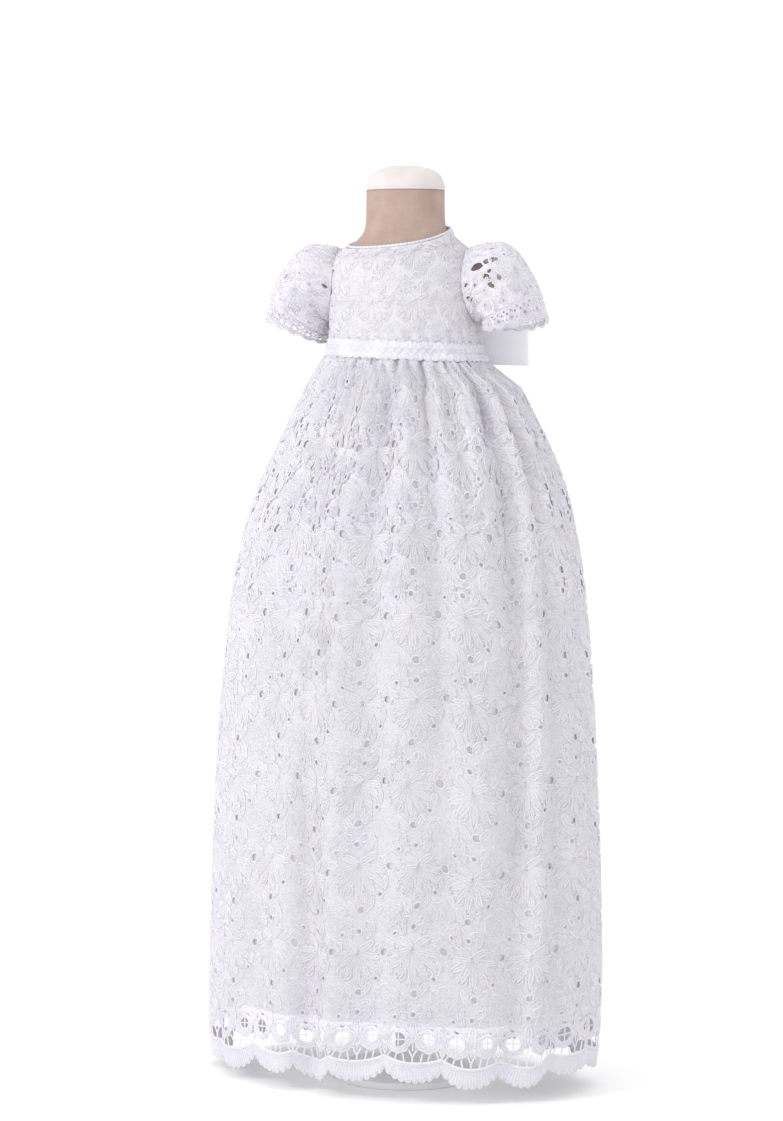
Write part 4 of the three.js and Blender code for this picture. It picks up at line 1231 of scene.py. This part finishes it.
def buildForm():
    # Ovals from the neck to the flat underside, drawn in to the middle at both ends, and half an egg
    # that fills each armhole
    formOval = curvesThrough(form["outline"], "z", "halfWidth", "halfDepth")
    neck, end = form["neck"], form["shoulder"]

    def torso(angle, v):
        z = neck["top"] - neck["length"] * np.clip(v, 0, 1)
        share = np.clip(1 - 50 * np.maximum(-v, v - 1), 0.01, 1)
        return onOval([formOval[0](z) * share, formOval[1](z) * share, 0], angle, 0, z)
    v = np.r_[-0.02, -0.01, np.linspace(0, 1, 100), 1.01, 1.02]
    parts = [ringSurface(120, v, torso, (60, neck["length"]))]
    for side in (1, -1):
        def egg(turn, row):
            x = side * (end["out"] + end["reach"] * np.cos(row))
            y = -side * end["halfDepth"] * np.sin(row) * np.sin(turn)
            return stacked(x, y, end["height"] + end["halfHeight"] * np.sin(row) * np.cos(turn))
        points, faces, _ = ringSurface(60, np.linspace(0.01, 1, 24) * pi / 2, egg, (1, 1))
        parts.append((points, faces, points[:, 1:]))
    addPiece("form_torso_linen", joined(parts), linenFinish, "linen", "form_torso")


def buildCap():
    # A low dome, with a thin piping that hides the joint with the neck
    rise, share = curvesThrough(cap, "row", "rise", "share")
    a, b, top = (form["neck"][key] for key in ("halfWidth", "halfDepth", "top"))

    def dome(angle, row):
        return onOval([a * share(row), b * share(row), 0], angle, 0, top + 0.3 + rise(row))

    def piping(angle, side):
        return onOval([a, b, 0], angle, 1.1 * np.cos(side) - 0.4, top + 1.6 - 1.1 * np.sin(side))
    shape = joined([ringSurface(120, np.linspace(5, 0, 31), dome, (a, 9)),
                    ringSurface(120, np.linspace(-pi, pi, 9), piping, (a, 1))])
    addPiece("form_neck_cap_cotton", shape, capFinish, "cap", "form_neck_cap")


def buildTurned(part):
    # A profile turned about the axis, from its top down the outside
    radius, height = (np.array(stand[part][column]) for column in ("radius", "height"))

    def place(angle, row):
        r = radius[row.astype(int)]
        return stacked(r * np.cos(angle), r * np.sin(angle), height[row.astype(int)])
    shape = ringSurface(96, np.arange(len(radius)), place, (1, 1))
    addPiece(f"stand_{part}_enamelled", shape, enamelFinish, "enamel", f"stand_{part}")


buildForm()
buildCap()
buildTurned("pole")
buildTurned("base")


# Camera at the photograph's angle, pale floor and soft light

view = {
    "azimuth": 22,
    "distance": 3200,
    "height": 745,
    "aimHeight": 521.5,
    "aimLeft": 14,
    "longSide": 1121,  # one pixel of the frame is one millimetre at the axis
}
studio = {
    "floorHalf": 40,
    "floor": 0.96,
    "floorGlow": 0.07,
    "world": 1.06,
    "keyEnergy": 25,
    "keySize": 0.9,
    "keyPlace": (-1.7, -2.1, 2.0),
    "keyAim": (0, 0, 0.5),
    "hemEnergy": 0.09,  # lights the floor inside the hem, which shows through the open border
    "hemSize": 0.28,
    "hemPlace": (0, 0.001, 0.075),
    "hemAim": (0, 0, 0),
}


def lookAt(thing, place, aim):
    # A camera and a lamp look down their own -Z
    thing.location = place
    thing.rotation_euler = (Vector(aim) - Vector(place)).to_track_quat("-Z", "Y").to_euler()
    bpy.context.scene.collection.objects.link(thing)


def buildCamera():
    turn = radians(view["azimuth"])
    lens = bpy.data.cameras.new("camera")
    lens.sensor_width = 36
    lens.lens = lens.sensor_width * view["distance"] / view["longSide"]
    lens.clip_end = 100
    camera = bpy.data.objects.new("camera", lens)
    place = np.array([sin(turn) * view["distance"], -cos(turn) * view["distance"], view["height"]])
    aim = np.array([-cos(turn) * view["aimLeft"], -sin(turn) * view["aimLeft"], view["aimHeight"]])
    lookAt(camera, place * 0.001, aim * 0.001)
    bpy.context.scene.camera = camera


def buildStudio():
    mesh = bpy.data.meshes.new("floor")
    s = studio["floorHalf"]
    mesh.from_pydata([(-s, -s, 0), (s, -s, 0), (s, s, 0), (-s, s, 0)], [], [(0, 1, 2, 3)])
    look = {"Roughness": 1.0, "Base Color": (studio["floor"],) * 3 + (1,), "Specular IOR Level": 0.0,
            "Emission Color": (1, 1, 1, 1), "Emission Strength": studio["floorGlow"]}
    mesh.materials.append(newFinish("white_paper", look)[0])
    floor = bpy.data.objects.new("floor", mesh)
    bpy.context.scene.collection.objects.link(floor)
    world = bpy.data.worlds.new("studio")
    world.use_nodes = True
    sky = world.node_tree.nodes["Background"].inputs
    sky["Color"].default_value, sky["Strength"].default_value = (1, 1, 1, 1), studio["world"]
    bpy.context.scene.world = world
    bpy.context.scene.view_settings.view_transform = "Standard"
    for name in ("key", "hem"):
        lamp = bpy.data.lights.new(name, "AREA")
        lamp.energy, lamp.size = studio[f"{name}Energy"], studio[f"{name}Size"]
        light = bpy.data.objects.new(name, lamp)
        lookAt(light, studio[f"{name}Place"], studio[f"{name}Aim"])
        light.visible_camera = False


buildCamera()
buildStudio()
